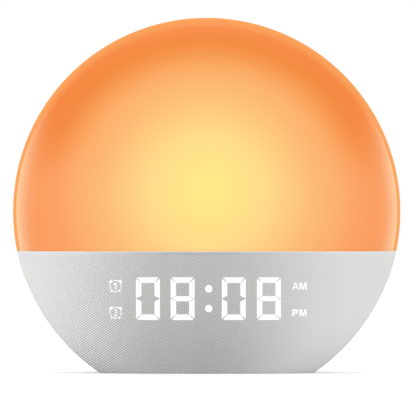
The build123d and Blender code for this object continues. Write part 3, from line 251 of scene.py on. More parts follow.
def bar(bm, x, z, width, height, turn=0.0):
    """Flat bar about a point."""
    bmesh.ops.create_grid(
        bm, x_segments=1, y_segments=1, size=0.5, matrix=upright(x, z, turn, width, height)
    )


def disc(bm, x, z, radius):
    """Flat disc about a point."""
    made = bmesh.ops.create_circle(
        bm, cap_ends=True, segments=40, radius=radius, matrix=upright(x, z)
    )
    return made["verts"][0].link_faces[:]


def ring(bm, x, z, radius, stroke):
    """Flat ring about a point, with its outer radius and the width of its line."""
    face = disc(bm, x, z, radius)
    bmesh.ops.inset_region(
        bm, faces=face, thickness=stroke, use_boundary=True, use_even_offset=True
    )
    bmesh.ops.delete(bm, geom=face, context="FACES_ONLY")


def outline(bm, x, z, points, size=1.0):
    """Flat face with straight sides, about a point, with its corners in units of a size."""
    bm.faces.new([bm.verts.new((x + px * size, 0, z + pz * size)) for px, pz in points])


def words(bm, text, x, z, height, width, weight=0.0):
    """Flat lettering, fitted to a height and width about a point."""
    curve = bpy.data.curves.new("lettering", "FONT")
    curve.body = text
    curve.offset = weight
    curve.resolution_u = 4
    letters = bpy.data.objects.new("lettering", curve)
    mesh = bpy.data.meshes.new_from_object(letters)
    low = Vector([min(v.co[i] for v in mesh.vertices) for i in range(3)])
    high = Vector([max(v.co[i] for v in mesh.vertices) for i in range(3)])
    size = high - low
    mesh.transform(
        upright(x, z, 0, width / size.x, height / size.y)
        @ Matrix.Translation(-(low + high) / 2)
    )
    bm.from_mesh(mesh)
    bpy.data.objects.remove(letters)
    bpy.data.curves.remove(curve)
    bpy.data.meshes.remove(mesh)


def arc(x, z, radius, start, turn):
    """Points along an arc, with its angles in degrees."""
    steps = 8
    angles = [radians(start + turn * k / steps) for k in range(steps + 1)]
    return [(x + radius * cos(a), z + radius * sin(a)) for a in angles]


def letter(bm, name, x, z, width, height):
    """Bold letter with its lower left corner at a point, drawn in a unit square."""
    half_a = [
        (0, 0), (0.38, 1), (0.5, 1), (0.5, 0.78), (0.37, 0.4), (0.5, 0.4), (0.5, 0.22),
        (0.31, 0.22), (0.24, 0),
    ]
    half_m = [(0, 0), (0, 1), (0.3, 1), (0.5, 0.36), (0.5, 0), (0.39, 0), (0.21, 0.72), (0.21, 0)]
    shapes = {
        "A": [half_a, [(1 - px, pz) for px, pz in half_a]],
        "M": [half_m, [(1 - px, pz) for px, pz in half_m]],
        "P": [
            [(0, 0), (0, 1), (0.26, 1), (0.26, 0)],
            [(0.26, 1), *arc(0.64, 0.68, 0.32, 90, -180), (0.26, 0.36), (0.26, 0.54)]
            + [*arc(0.62, 0.68, 0.14, -90, 180), (0.26, 0.82)],
        ],
    }
    for points in shapes[name]:
        outline(bm, x, z, [(px * width, pz * height) for px, pz in points])


def slice_up(bm, step):
    """Cuts flat shapes along a grid, so that they can follow a curve."""
    bmesh.ops.triangulate(bm, faces=bm.faces[:])
    for axis in (0, 2):
        places = [v.co[axis] for v in bm.verts]
        place = min(places) + step
        while place < max(places):
            spot, normal = Vector(), Vector()
            spot[axis], normal[axis] = place, 1
            slice_at(bm, spot, normal)
            place += step


def thicken(bm, depth):
    """Gives flat shapes a thickness towards the front (or to the rear, if it is negative)."""
    bmesh.ops.remove_doubles(bm, verts=bm.verts, dist=1e-6)
    made = bmesh.ops.extrude_face_region(bm, geom=bm.faces[:])
    moved = [v for v in made["geom"] if isinstance(v, bmesh.types.BMVert)]
    bmesh.ops.translate(bm, verts=moved, vec=(0, -depth, 0))
    bmesh.ops.recalc_face_normals(bm, faces=bm.faces)


def lay_on_cloth(bm, sizes):
    """Lays flat shapes on the cloth's crown and gives them their thickness."""
    step = 2.9 * MM  # marks are cut as fine as this, so that they bend with the crown
    slice_up(bm, step)
    for v in bm.verts:
        v.co.y = front_surface(v.co.x, v.co.z, sizes.shoulder) - sizes.mark_lift
    thicken(bm, sizes.mark_depth)


def meshed(name, bm):
    """Turns a bmesh into a mesh."""
    mesh = bpy.data.meshes.new(name)
    bm.to_mesh(mesh)
    bm.free()
    return mesh


def put(name, data):
    """Puts a mesh, a lamp or a camera into the scene."""
    made = bpy.data.objects.new(name, data)
    bpy.context.scene.collection.objects.link(made)
    return made


def finish_piece(name, bm, material, body, replaced=()):
    """Turns a bmesh into a finished piece. One without a body is blended afterwards."""
    mesh = meshed(name, bm)
    mesh.shade_smooth()
    mesh.set_sharp_from_angle(angle=SHARP)
    mesh.materials.append(material)
    piece = put(name, mesh)
    if body:
        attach(piece, body)
    if replaced:
        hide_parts(*replaced)
    return piece


def smoothed(node):
    """Copy of a solid's mesh with its loose triangles merged."""
    bm = bmesh.new()
    bm.from_mesh(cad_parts[node].data)
    bmesh.ops.remove_doubles(bm, verts=bm.verts, dist=1e-6)
    return bm


def off_dome(spot, rim, shoulder, depth, seat, side):
    """Distance of a point outside a turned dome, and the way out there, as radius and depth."""
    crown, lean = crown_of(rim, shoulder, depth)
    radius, behind = hypot(spot.x, spot.z - AXIS_HEIGHT), (spot.y - seat) * side
    out = radius - (rim - shoulder)
    if behind <= 0:
        return radius - rim, 1.0, 0.0
    if atan2(out, behind) > lean:
        run = hypot(out, behind)
        return run - shoulder, out / run, behind / run
    fore = behind - depth + crown
    run = hypot(radius, fore)
    return run - crown, radius / run, fore / run


def weighted_normals(mesh):
    """Normals of a mesh's corners in which large faces count for more, so that flats stay flat."""
    around = [[] for _ in mesh.vertices]
    for face in mesh.polygons:
        for spot in face.vertices:
            around[spot].append((face.normal.copy(), face.area))
    return [
        sum(
            (side * area for side, area in around[spot] if side.dot(face.normal) > cos(SHARP)),
            Vector(),
        ).normalized()
        for face in mesh.polygons
        for spot in face.vertices
    ]


def even_shading(piece, rim, shoulder, depth, seat, side, slack=0.06 * MM):
    """Gives the corners on a turned dome the dome's own normals, whatever its triangles are."""
    mesh = piece.data
    found = [off_dome(v.co, rim, shoulder, depth, seat, side) for v in mesh.vertices]
    normals = weighted_normals(mesh)
    for face in mesh.polygons:
        if all(abs(found[i][0]) < slack for i in face.vertices):
            for loop in face.loop_indices:
                spot = mesh.loops[loop].vertex_index
                place = mesh.vertices[spot].co
                out, back = found[spot][1:]
                radial = Vector((place.x, 0, place.z - AXIS_HEIGHT)).normalized()
                normals[loop] = radial * out + Vector((0, side * back, 0))
    mesh.normals_split_custom_set(normals)


def dress(material, *nodes):
    """Gives solids their material."""
    for node in nodes:
        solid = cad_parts[node]
        if not solid.material_slots:
            solid.data.materials.append(material)
        for place in solid.material_slots:
            place.material = material


# ---------------------------------------------------------------- materials
COLOURS = {"data_type": "RGBA", "out": 2}  # a Mix of colours: inputs 0, 6 and 7, output 2


def feed(node, inputs):
    """Sets inputs of a node: each is a value, or the output of a node to link."""
    for key, value in inputs.items():
        if isinstance(value, bpy.types.NodeSocket):
            node.id_data.links.new(value, node.inputs[key])
        else:
            node.inputs[key].default_value = value


def add(tree, kind, *ordered, named=None, stops=None, blend="LINEAR", out=0, **settings):
    """Adds a node with its settings, and gives one of its outputs, or the node if out is None."""
    made = tree.nodes.new(f"ShaderNode{kind}")
    for name, value in settings.items():
        setattr(made, name, value)
    feed(made, dict(enumerate(ordered)) | (named or {}))
    if stops:
        line = made.color_ramp
        line.interpolation = blend
        while len(line.elements) < len(stops):
            line.elements.new(1.0)
        for element, (place, value) in zip(line.elements, stops):
            element.position = place
            element.color = (*value, 1) if isinstance(value, tuple) else (value, value, value, 1)
    return made if out is None else made.outputs[out]


def surface(name, **values):
    """Starts a material. Plain numbers and colours stand on the shader's own sockets."""
    material = bpy.data.materials.new(name)
    material.use_nodes = True
    tree = material.node_tree
    shader = next(n for n in tree.nodes if n.type == "BSDF_PRINCIPLED")
    feed(shader, {socket.replace("_", " "): value for socket, value in values.items()})
    return material, tree, shader


def millimetres(tree):
    """Place on the piece, in millimetres of the frame."""
    place = add(tree, "TexCoord", out="Object")
    return add(tree, "VectorMath", place, named={"Scale": 1 / MM}, operation="SCALE")


def grained(tree, shader, place, size, detail, depth):
    """Bump of fine noise, with its size and depth in millimetres. Gives the noise."""
    marks = add(tree, "TexNoise", place, named={"Scale": 1 / size, "Detail": detail})
    bump = add(tree, "Bump", named={"Height": marks, "Distance": depth * MM})
    feed(shader, {"Normal": bump})
    return marks


def mottle(tree, shader, base, share, size):
    """Slow variation of the base colour, by a share of it, over a size in millimetres."""
    cloud = add(tree, "TexNoise", millimetres(tree), named={"Scale": 1 / size, "Detail": 3.0})
    low, high = (tuple(c * (1 + s * share) for c in base) for s in (-1, 1))
    ramp = add(tree, "ValToRGB", cloud, stops=[(0.3, low), (0.7, high)])
    feed(shader, {"Base Color": ramp})


def moulded(name, base, roughness, grain, depth, share=0.03):
    """Injection moulded plastic: an even colour, with the grain that the mould was given."""
    material, tree, shader = surface(name)
    mottle(tree, shader, base, share, 14.0)
    pits = grained(tree, shader, millimetres(tree), grain, 4.0, depth)
    gloss = add(tree, "MapRange", pits, 0, 1, roughness - 0.05, roughness + 0.08)
    feed(shader, {"Roughness": gloss})
    return material


def metal(name, base, roughness, grain, stretch):
    """Bare or plated metal: a clean tint, with the marks of rolling, turning or plating."""
    material, tree, shader = surface(name, Metallic=1.0)
    mottle(tree, shader, base, 0.06, 4.0)
    place = add(tree, "VectorMath", millimetres(tree), stretch, operation="MULTIPLY")
    marks = grained(tree, shader, place, grain, 3.0, 0.01)
    gloss = add(tree, "MapRange", marks, 0, 1, roughness - 0.08, roughness + 0.12)
    feed(shader, {"Roughness": gloss})
    return material


def circuit(name, mask, track):
    """Glass fibre board under solder mask: straight copper tracks show through the lacquer."""
    material, tree, shader = surface(name, Roughness=0.35, Coat_Weight=0.3, Coat_Roughness=0.2)
    # runs of track in rows at the 1.27 mm pitch of the chips' legs, with 0.16 mm between them
    tracks = add(
        tree, "TexBrick", millimetres(tree), (*mask, 1), (*track, 1), (*mask, 1),
        named={"Scale": 1.0, "Mortar Size": 0.16, "Brick Width": 5.0, "Row Height": 1.27},
        out=None,
    )
    bump = add(tree, "Bump", named={"Height": tracks.outputs["Fac"], "Distance": 0.03 * MM})
    feed(shader, {"Base Color": tracks.outputs["Color"], "Normal": bump})
    return material


def opal_acrylic(colours):
    """Opal acrylic, injection moulded: it glows evenly, deeper in colour away from its lights.

    Seen from the front the colour follows the distance from the lights behind it. The upper rim
    is deeper still, where the shade turns away from them; the sides carry a painted pale reflection of the
    side lamps.
    """
    material, tree, shader = surface(
        "opal acrylic, lit", Roughness=0.6, Specular_IOR_Level=0.12, Emission_Strength=0.78
    )
    lights, reach = (0.6 * MM, 0, 85 * MM), 100 * MM  # their middle, and how far they light
    rim_band = LAMP_RADIUS - 60 * MM  # inner edge of the band that the rim's tones run over
    place = add(tree, "TexCoord", out="Object")
    flat = add(tree, "VectorMath", place, (1, 0, 1), operation="MULTIPLY")
    # colour by the distance from the middle of the lights
    glow = add(tree, "VectorMath", flat, lights, operation="DISTANCE", out="Value")
    warm = add(
        tree, "ValToRGB", add(tree, "Math", glow, reach, operation="DIVIDE"),
        stops=[
            (0.0, tuple(colours.glow)), (0.263, tuple(colours.glow_near)),
            (0.485, tuple(colours.glow_half)), (0.708, tuple(colours.glow_far)),
            (0.88, tuple(colours.glow_edge)),
        ],
    )
    # the way in from the rim, as a share of its band, and the sine of the angle above the axis
    radius = add(tree, "VectorMath", flat, (0, 0, AXIS_HEIGHT), operation="DISTANCE", out="Value")
    inward = add(tree, "MapRange", radius, LAMP_RADIUS, rim_band)
    height = add(tree, "SeparateXYZ", place, out="Z")
    above = add(tree, "Math", height, AXIS_HEIGHT, operation="SUBTRACT")
    rise = add(tree, "Math", above, radius, operation="DIVIDE")
    # the upper rim turns away from the lights: less green and blue light gets there
    shade = add(
        tree, "ValToRGB", inward,
        stops=[
            (0.0, (0.95, 0.91, 0.6)), (0.065, (0.94, 0.71, 0.38)),
            (0.15, (0.93, 0.7, 0.38)), (0.46, (1.0, 0.955, 0.87)), (1.0, (1.0, 1.0, 1.0)),
        ],
        blend="EASE",
    )
    upper = add(tree, "MapRange", rise, 0.1, 0.55, interpolation_type="SMOOTHSTEP")
    deep = add(
        tree, "Mix", named={0: upper, 6: warm, 7: shade}, blend_type="MULTIPLY", **COLOURS
    )
    # a thin dim line along the foot, where the deck's edge shades it
    foot = add(tree, "MapRange", height, lamp_low.z + 0.85 * MM, lamp_low.z + 0.55 * MM)
    deep = add(
        tree, "Mix", named={0: foot, 6: deep, 7: (0.96, 0.84, 0.78, 1)},
        blend_type="MULTIPLY", **COLOURS,
    )
    # painted reflection of the side lamps: a narrow pale band along the sides
    level = add(tree, "MapRange", rise, 0.62, 0.12, interpolation_type="SMOOTHSTEP")
    band = add(
        tree, "ValToRGB", inward, stops=[(0.0, 0.93), (0.045, 0.5), (0.1, 0.13), (0.17, 0.0)]
    )
    side = add(tree, "Math", level, band, operation="MULTIPLY")
    lit = add(tree, "Mix", named={0: side, 6: deep, 7: (*colours.side_reflection, 1)}, **COLOURS)
    body = add(
        tree, "Mix", named={0: 1.0, 6: lit, 7: (0.2, 0.2, 0.2, 1)},
        blend_type="MULTIPLY", **COLOURS,
    )
    feed(shader, {"Emission Color": lit, "Base Color": body})
    # a faint haze of flow marks
    grained(tree, shader, millimetres(tree), 1 / 1.4, 2.0, 0.01)
    return material


def lit_ring_abs():
    """Translucent moulded ABS beside the lamp: an even, slightly dimmer orange."""
    material, tree, shader = surface(
        "translucent ABS, lit", Base_Color=(*srgb("7a4a1e"), 1), Roughness=0.4,
        Emission_Color=(*srgb("f2a052"), 1), Emission_Strength=0.8,
    )
    grained(tree, shader, millimetres(tree), 1 / 1.5, 3.0, 0.01)
    return material


def across_front(tree):
    """Height on a piece, and the share of the way across the front from its left side."""
    place = add(tree, "SeparateXYZ", add(tree, "TexCoord", out="Object"), out=None)
    across = add(tree, "MapRange", place.outputs["X"], -BODY_RADIUS, BODY_RADIUS)
    return place.outputs["Z"], across


def deck_abs():
    """Satin ABS, moulded, with painted light: a painted highlight of the lamp along its upper edge, and the
    cloth's painted sheen across it.
    """
    material, tree, shader = surface("satin ABS", Roughness=0.45)
    height, across = across_front(tree)
    # painted sheen like the cloth's: darker in the middle, lighter towards both sides
    painted_sheen = add(
        tree, "ValToRGB", across,
        stops=[(0.05, srgb("d8dadc")), (0.47, srgb("abacaf")), (0.95, srgb("d7d9db"))],
        blend="EASE",
    )
    # painted highlight: the upper edge lighter and warmer, where it would catch the lamp
    up = add(tree, "MapRange", height, deck_low.z, deck_high.z)
    edge = add(tree, "MapRange", up, 0.86, 0.96)
    tone = add(tree, "Mix", named={0: edge, 6: painted_sheen, 7: (*srgb("e4dcd6"), 1)}, **COLOURS)
    feed(shader, {"Base Color": tone})
    grained(tree, shader, millimetres(tree), 0.5, 3.0, 0.01)
    return material


def twill_cloth(colours, sizes):
    """Polyester twill stretched on the bias: fine ribs of warp rise to the right.

    Away from the left side the ribs of weft, square to them, show more, and both grow faint
    towards the right. Real ribs are about 0.5 mm apart, too fine to show, so they are drawn as
    coarse as rib_pitch says.
    """
    material, tree, shader = surface("polyester twill", Roughness=0.85, Sheen_Weight=0.15)
    thread = add(tree, "UVMap", uv_map="weave")
    bias = add(
        tree, "VectorRotate", thread, named={"Angle": -sizes.rib_angle}, rotation_type="Z_AXIS"
    )
    counted = add(
        tree, "VectorMath", bias, named={"Scale": MM / sizes.rib_pitch}, operation="SCALE"
    )
    ribs = add(tree, "SeparateXYZ", counted, out=None)
    # each set of ribs is a sine, from -1 to 1
    angles = [add(tree, "Math", ribs.outputs[axis], tau, operation="MULTIPLY") for axis in "YX"]
    warp, weft = [add(tree, "Math", angle, operation="SINE") for angle in angles]
    level, across = across_front(tree)
    # from the left side to the right: how much of each set shows, and the painted light and shade
    # of the cloth along its upper and lower edge, lighter where it turns to both sides
    warp_share, weft_share, painted_light_top, painted_light_foot = (
        add(tree, "ValToRGB", across, stops=stops, blend="EASE")
        for stops in (
            [(0.04, 0.03), (0.21, 0.39), (0.46, 0.14), (0.75, 0.02)],
            [(0.2, 0.05), (0.45, 0.29), (0.53, 0.25), (0.75, 0.03)],
            [(0.02, 1.22), (0.42, 0.815), (0.5, 0.8), (0.93, 1.17)],
            [(0.06, 1.25), (0.4, 0.745), (0.5, 0.715), (0.88, 1.28)],
        )
    )
    crossing = add(tree, "Math", weft, weft_share, operation="MULTIPLY")
    height = add(tree, "Math", warp, warp_share, crossing, operation="MULTIPLY_ADD")
    # slubs: slow unevenness of the threads, over a little more than a millimetre
    slub = add(tree, "TexNoise", bias, named={"Scale": 0.9, "Detail": 2.0})
    unevenness = add(tree, "MapRange", slub, 0, 1, 0.5, 1.5)
    uneven = add(tree, "Math", height, unevenness, operation="MULTIPLY")
    # the ribs' light and dark show stronger towards the foot
    down = add(tree, "MapRange", level, cloth_high.z, cloth_low.z)
    fallen = add(tree, "Math", down, 1.5, operation="POWER")
    deeper = add(tree, "MapRange", fallen, 0, 1, 0.75, 1.25)
    light = add(tree, "Math", uneven, deeper, 1.0, operation="MULTIPLY_ADD")
    # painted light and shade, blended from the upper edge down to the foot: darker in the middle, lighter at
    # the sides
    tone = add(tree, "Mix", named={0: fallen, 6: painted_light_top, 7: painted_light_foot}, **COLOURS)
    # painted light: a little lighter again down to the fold, where the floor would shade it
    fold = add(tree, "MapRange", level, cloth_low.z + 8 * MM, cloth_low.z, 1.0, 1.06)
    toned = add(tree, "Math", tone, fold, operation="MULTIPLY")
    shades = add(tree, "Math", light, toned, operation="MULTIPLY")
    dyed = add(
        tree, "VectorMath", tuple(colours.cloth), named={"Scale": shades}, operation="SCALE"
    )
    bump = add(tree, "Bump", named={"Height": uneven, "Distance": 0.05 * MM})
    feed(shader, {"Base Color": dyed, "Normal": bump})
    return material


def light_through_cloth(colours):
    """White light behind the weave: even and crisp, with a trace of the threads."""
    material, tree, shader = surface(
        "light through twill", Base_Color=(*srgb("202020"), 1), Roughness=0.9,
        Emission_Color=(*colours.light, 1), Emission_Strength=1.0,
    )
    pitch = 0.6  # of the threads, in millimetres: a wave repeats once in tau / 20
    threads = add(
        tree, "TexWave", millimetres(tree),
        named={"Scale": tau / 20 / pitch, "Distortion": 1.0}, out=1,
    )
    bump = add(tree, "Bump", named={"Height": threads, "Distance": 0.02 * MM})
    feed(shader, {"Normal": bump})
    return material


def inlet_shell():
    """Drawn steel shell with a black nylon tongue and back inside it."""
    material, tree, shader = surface("drawn steel and nylon", Roughness=0.25)
    steel, nylon = (*srgb("c8c8c6"), 1), (*srgb("161617"), 1)
    low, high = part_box("power_inlet")
    place = add(tree, "TexCoord", out="Object")
    off = add(tree, "VectorMath", place, tuple((low + high) / 2), operation="SUBTRACT")
    sides = add(tree, "SeparateXYZ", add(tree, "VectorMath", off, operation="ABSOLUTE"), out=None)
    # half the width and height of the mouth, inside the shell's wall
    within = [
        add(tree, "Math", sides.outputs[axis], half, operation="LESS_THAN")
        for axis, half in (("X", 3.9 * MM), ("Z", 1.1 * MM))
    ]
    inside = add(tree, "Math", *within, operation="MULTIPLY")
    tint = add(tree, "Mix", named={0: inside, 6: steel, 7: nylon}, **COLOURS)
    bare = add(tree, "Math", 1.0, inside, operation="SUBTRACT")
    feed(shader, {"Base Color": tint, "Metallic": bare})
    grained(tree, shader, millimetres(tree), 1 / 3, 3.0, 0.005)
    return material


def casing_abs(colours):
    """Pale ABS with a spark-eroded mould finish: matt, evenly pitted, slightly warm."""
    return moulded("spark-textured ABS", tuple(colours.casing), 0.55, 0.8, 0.05, 0.02)


def key_rubber(colours):
    """Soft-touch lacquered keys: matt and a little darker than the casing."""
    return moulded("soft-touch keys", tuple(colours.keys), 0.6, 0.5, 0.015)


def key_ink(colours):
    """Pad-printed ink: flat dark grey, slightly glossier than the key."""
    return moulded("pad-printed ink", tuple(colours.ink), 0.4, 0.3, 0.005)


# ---------------------------------------------------------------- operators
class ClockOperator(bpy.types.Operator):
    """Shared parts of the clock's operators."""

    bl_options = {"REGISTER", "UNDO"}

    @property
    def sizes(self):
        return bpy.context.scene.clock_sizes

    @property
    def colours(self):
        return bpy.context.scene.clock_colours


class CLOCK_OT_lamp_shade(ClockOperator):
    """Builds the opal shade of the lamp."""

    bl_idname = "clock.lamp_shade"
    bl_label = "Lamp shade"

    def execute(self, context):
        sizes = self.sizes
        shade = dome_shell(LAMP_RADIUS, sizes.shoulder, lamp_high.y, sizes.shade_wall)
        cut(shade, lamp_low.z + sizes.seam, 1)
        piece = finish_piece(
            "opal_shade", shade, opal_acrylic(self.colours), "root",
            ["light_diffuser"],
        )
        even_shading(piece, LAMP_RADIUS, sizes.shoulder, FRONT_DEPTH, SEAT, -1)
        return {"FINISHED"}


class CLOCK_OT_lamp_ring(ClockOperator):
    """Turns the ring that holds the shade, with its ledge and screw lugs behind."""

    bl_idname = "clock.lamp_ring"
    bl_label = "Lamp ring"

    clearance: length("Clearance", "Between the shade and the ring", 0.1 * MM)
    ledge: length("Ledge", "Thickness of the ledge behind the shade", 1.5 * MM)
    ledge_width: length("Ledge width", "From the outside to the ledge's inner edge", 5 * MM)
    lug_radius: length("Lug radius", "Radius of a screw lug", 4.2 * MM)
    lug_inset: length("Lug inset", "From the outside to a lug's middle", 11 * MM)
    lug_angles = (10, 62, 118, 170)  # degrees about the axis, from the right

    def execute(self, context):
        edge = self.sizes.ring_edge
        inner = LAMP_RADIUS + self.clearance
        ledge_inner = BODY_RADIUS - self.ledge_width
        bm = bmesh.new()
        (
            Section(bm, BODY_RADIUS, PARTING)
            .line(BODY_RADIUS, ring_low.y + edge)
            .turn(BODY_RADIUS - edge, ring_low.y + edge, -pi / 2, 4)
            .line(inner, ring_low.y)
            .line(inner, PARTING - self.ledge)
            .line(ledge_inner, PARTING - self.ledge)
            .line(ledge_inner, PARTING)
            .close()
        )
        spin_section(bm)
        cut(bm, ring_low.z, 1)
        for angle in self.lug_angles:
            self.lug(bm, radians(angle))
        finish_piece("lamp_ring", bm, lit_ring_abs(), "root", ["diffuser_ring"])
        return {"FINISHED"}

    def lug(self, bm, angle):
        """Solid lug, joined to the ledge by a short arm."""
        reach = BODY_RADIUS - self.lug_inset
        for middle, width, depth in (
            (reach, 2 * self.lug_radius, 5 * self.ledge),
            (reach + self.lug_radius, 2 * self.lug_radius, self.ledge),
        ):
            place = Matrix.Translation((0, PARTING - depth / 2, AXIS_HEIGHT))
            turned = place @ Matrix.Rotation(-angle, 4, "Y") @ Matrix.Translation((middle, 0, 0))
            made = bmesh.ops.create_cube(
                bm, size=1, matrix=turned @ Matrix.Diagonal((width, depth, width, 1))
            )
            edges = {e for v in made["verts"] for e in v.link_edges}
            along = [e for e in edges if abs((e.verts[0].co - e.verts[1].co).y) > depth / 2]
            bmesh.ops.bevel(
                bm, geom=along, offset=width / 4, segments=4, profile=0.5, affect="EDGES",
                material=-1,
            )


class CLOCK_OT_deck_strip(ClockOperator):
    """Finishes the deck between the lamp and the base, whose edge shows as a strip."""

    bl_idname = "clock.deck_strip"
    bl_label = "Deck strip"

    def execute(self, context):
        front = (BODY_RADIUS, self.sizes.shoulder, FRONT_DEPTH, SEAT, -1)
        deck = smoothed("lamp_deck")
        skin, edge = 0.1 * MM, deck_high.z - 0.02 * MM
        # the upper edge of the front stands up a little, to cover the foot of the shade
        for v in deck.verts:
            if v.co.z > edge and off_dome(v.co, *front)[0] > -skin:
                v.co.z += self.sizes.seam
        strip = finish_piece("deck_strip", deck, deck_abs(), "root", ["lamp_deck"])
        even_shading(strip, *front, skin)
        return {"FINISHED"}


class CLOCK_OT_cloth(ClockOperator):
    """Stretches the cloth over the base's front, with its hem folded in below."""

    bl_idname = "clock.cloth"
    bl_label = "Cloth"

    def execute(self, context):
        sizes = self.sizes
        cloth = dome_shell(BODY_RADIUS, sizes.shoulder, PARTING, sizes.cloth)
        cut(cloth, cloth_high.z, -1)
        cut(cloth, cloth_low.z + sizes.cloth, 1)
        hem = dome_shell(BODY_RADIUS, sizes.shoulder, PARTING, sizes.hem)
        cut(hem, cloth_low.z + sizes.cloth, -1)
        cut(hem, cloth_low.z - sizes.hem_drop, 1)
        folded = meshed("hem", hem)
        cloth.from_mesh(folded)
        bpy.data.meshes.remove(folded)
        self.lay_weave(cloth)
        piece = finish_piece(
            "twill_cover", cloth, twill_cloth(self.colours, sizes), "root",
            ["fabric_cover"],
        )
        even_shading(piece, BODY_RADIUS, sizes.shoulder, FRONT_DEPTH, SEAT, -1)
        self.declare(piece)
        return {"FINISHED"}

    def lay_weave(self, bm):
        """UV map in millimetres: straight over the front, and along the cloth behind the seat."""
        weave = bm.loops.layers.uv.new("weave")
        for face in bm.faces:
            for loop in face.loops:
                x, y, z = loop.vert.co
                radius = hypot(x, z - AXIS_HEIGHT)
                share = (radius + max(0.0, y - SEAT)) / radius / MM
                loop[weave].uv = (x * share, (z - AXIS_HEIGHT) * share)

    def laid_flat(self, spot):
        """Place of a point of the cloth once it is laid flat, from the middle of the front."""
        shoulder = self.sizes.shoulder
        crown, lean = crown_of(BODY_RADIUS, shoulder, FRONT_DEPTH)
        radius = hypot(spot.x, spot.z - AXIS_HEIGHT)
        turn = atan2(radius - (BODY_RADIUS - shoulder), SEAT - spot.y)
        if turn < lean:
            run = crown * asin(radius / crown)
        else:
            run = crown * lean + shoulder * (min(turn, pi / 2) - lean) + max(0, spot.y - SEAT)
        return spot.x * run / radius, (spot.z - AXIS_HEIGHT) * run / radius

    def declare(self, piece):
        """Left empty; it does nothing with the piece."""


class CLOCK_OT_digits(ClockOperator):
    """Lights the four digits and the colon of the time."""

    bl_idname = "clock.digits"
    bl_label = "Digits"

    level: length("Level", "Height of the digits' middle", 34.8 * MM)
    places: bpy.props.FloatVectorProperty(
        name="Places", description="Middles of the digits along X", size=4,
        default=(-27.1 * MM, -11.1 * MM, 12.5 * MM, 28.7 * MM),
    )
    colon_place: length("Colon place", "Middle of the colon along X", 0.95 * MM)
    colon_rise: length("Colon rise", "From the digits' middle to a dot", 4.55 * MM)
    colon_radius: length("Colon radius", "Radius of the colon's dots", 1.72 * MM)
    nick: length("Nick", "How far a digit's outer corners are left unlit", 0.42 * MM)

    def execute(self, context):
        bm = bmesh.new()
        for place, shown in zip(self.places, "0808"):
            for points in self.bars(shown):
                outline(bm, place, self.level, points)
        for s in (-1, 1):
            disc(bm, self.colon_place, self.level + s * self.colon_rise, self.colon_radius)
        lay_on_cloth(bm, self.sizes)
        finish_piece("lit_time", bm, light_through_cloth(self.colours), "root")
        return {"FINISHED"}

    def bars(self, shown):
        """Outlines of a digit's lit bars, about its middle."""
        sizes = self.sizes
        x, z = sizes.digit_width / 2, sizes.digit_height / 2
        stroke, gap, nick = sizes.digit_stroke, sizes.digit_gap / 2, self.nick
        level = [
            (-x + nick + gap, z), (x - nick - gap, z), (x - stroke - gap, z - stroke),
            (-x + stroke + gap, z - stroke),
        ]
        side = [
            (-x, z - nick - gap), (-x + stroke, z - stroke - gap), (-x + stroke, stroke / 2 + gap),
            (-x, gap),
        ]
        # the middle bar runs to a point at both ends
        tip, shoulder, half = x - 0.5 * MM, x - 2.6 * MM, stroke / 2 - gap
        middle = [
            (-tip, 0), (-shoulder, half), (shoulder, half),
            (tip, 0), (shoulder, -half), (-shoulder, -half),
        ]
        lit = [[(px, s * pz) for px, pz in level] for s in (1, -1)]
        lit += [[(s * px, t * pz) for px, pz in side] for s in (1, -1) for t in (1, -1)]
        return lit + [middle] * (shown == "8")


def alarm_pictogram(bm, x, z, number, scale=1.0):
    """Little alarm clock: a ring with two bells, two feet and a number."""
    size = MM * scale
    ring(bm, x, z, 2.8 * size, 0.38 * size)
    for s in (-1, 1):
        bar(bm, x + s * 2.35 * size, z + 2.2 * size, 1.6 * size, 0.85 * size, -s * pi / 4)
        bar(bm, x + s * 1.95 * size, z - 2.45 * size, 0.9 * size, 0.45 * size, -s * pi / 4)
    if number == "1":
        one = [
            (-0.1, -1.6), (0.45, -1.6), (0.45, 1.6), (0.05, 1.6), (-0.95, 0.9), (-0.95, 0.35),
            (-0.1, 0.85),
        ]
        outline(bm, x, z, one, size)
    else:
        words(bm, number, x, z, 3.2 * size, 1.9 * size)


class CLOCK_OT_pictograms(ClockOperator):
    """Lights the two alarm pictograms and the two halves of the day."""

    bl_idname = "clock.pictograms"
    bl_label = "Pictograms"

    def execute(self, context):
        alarms, first, second = -42.05 * MM, 39.5 * MM, 42.8 * MM  # places along X
        tall = 3.2 * MM
        bm = bmesh.new()
        for z, number, half in ((40.6 * MM, "1", "AM"), (28.2 * MM, "2", "PM")):
            alarm_pictogram(bm, alarms, z, number)
            letter(bm, half[0], first, z - tall / 2, 3.0 * MM, tall)
            letter(bm, half[1], second, z - tall / 2, 3.3 * MM, tall)
        lay_on_cloth(bm, self.sizes)
        finish_piece(
            "lit_pictograms", bm, light_through_cloth(self.colours), "root"
        )
        return {"FINISHED"}


class CLOCK_OT_rear_casing(ClockOperator):
    """Smooths the rear casing and gives it its mould finish."""

    bl_idname = "clock.rear_casing"
    bl_label = "Rear casing"

    def execute(self, context):
        casing = finish_piece(
            "rear_casing", smoothed("rear_housing"), casing_abs(self.colours), "root",
            ["rear_housing"],
        )
        seat = -PARTING
        even_shading(casing, BODY_RADIUS, self.sizes.rear_shoulder, -POLE - seat, seat, 1)
        return {"FINISHED"}


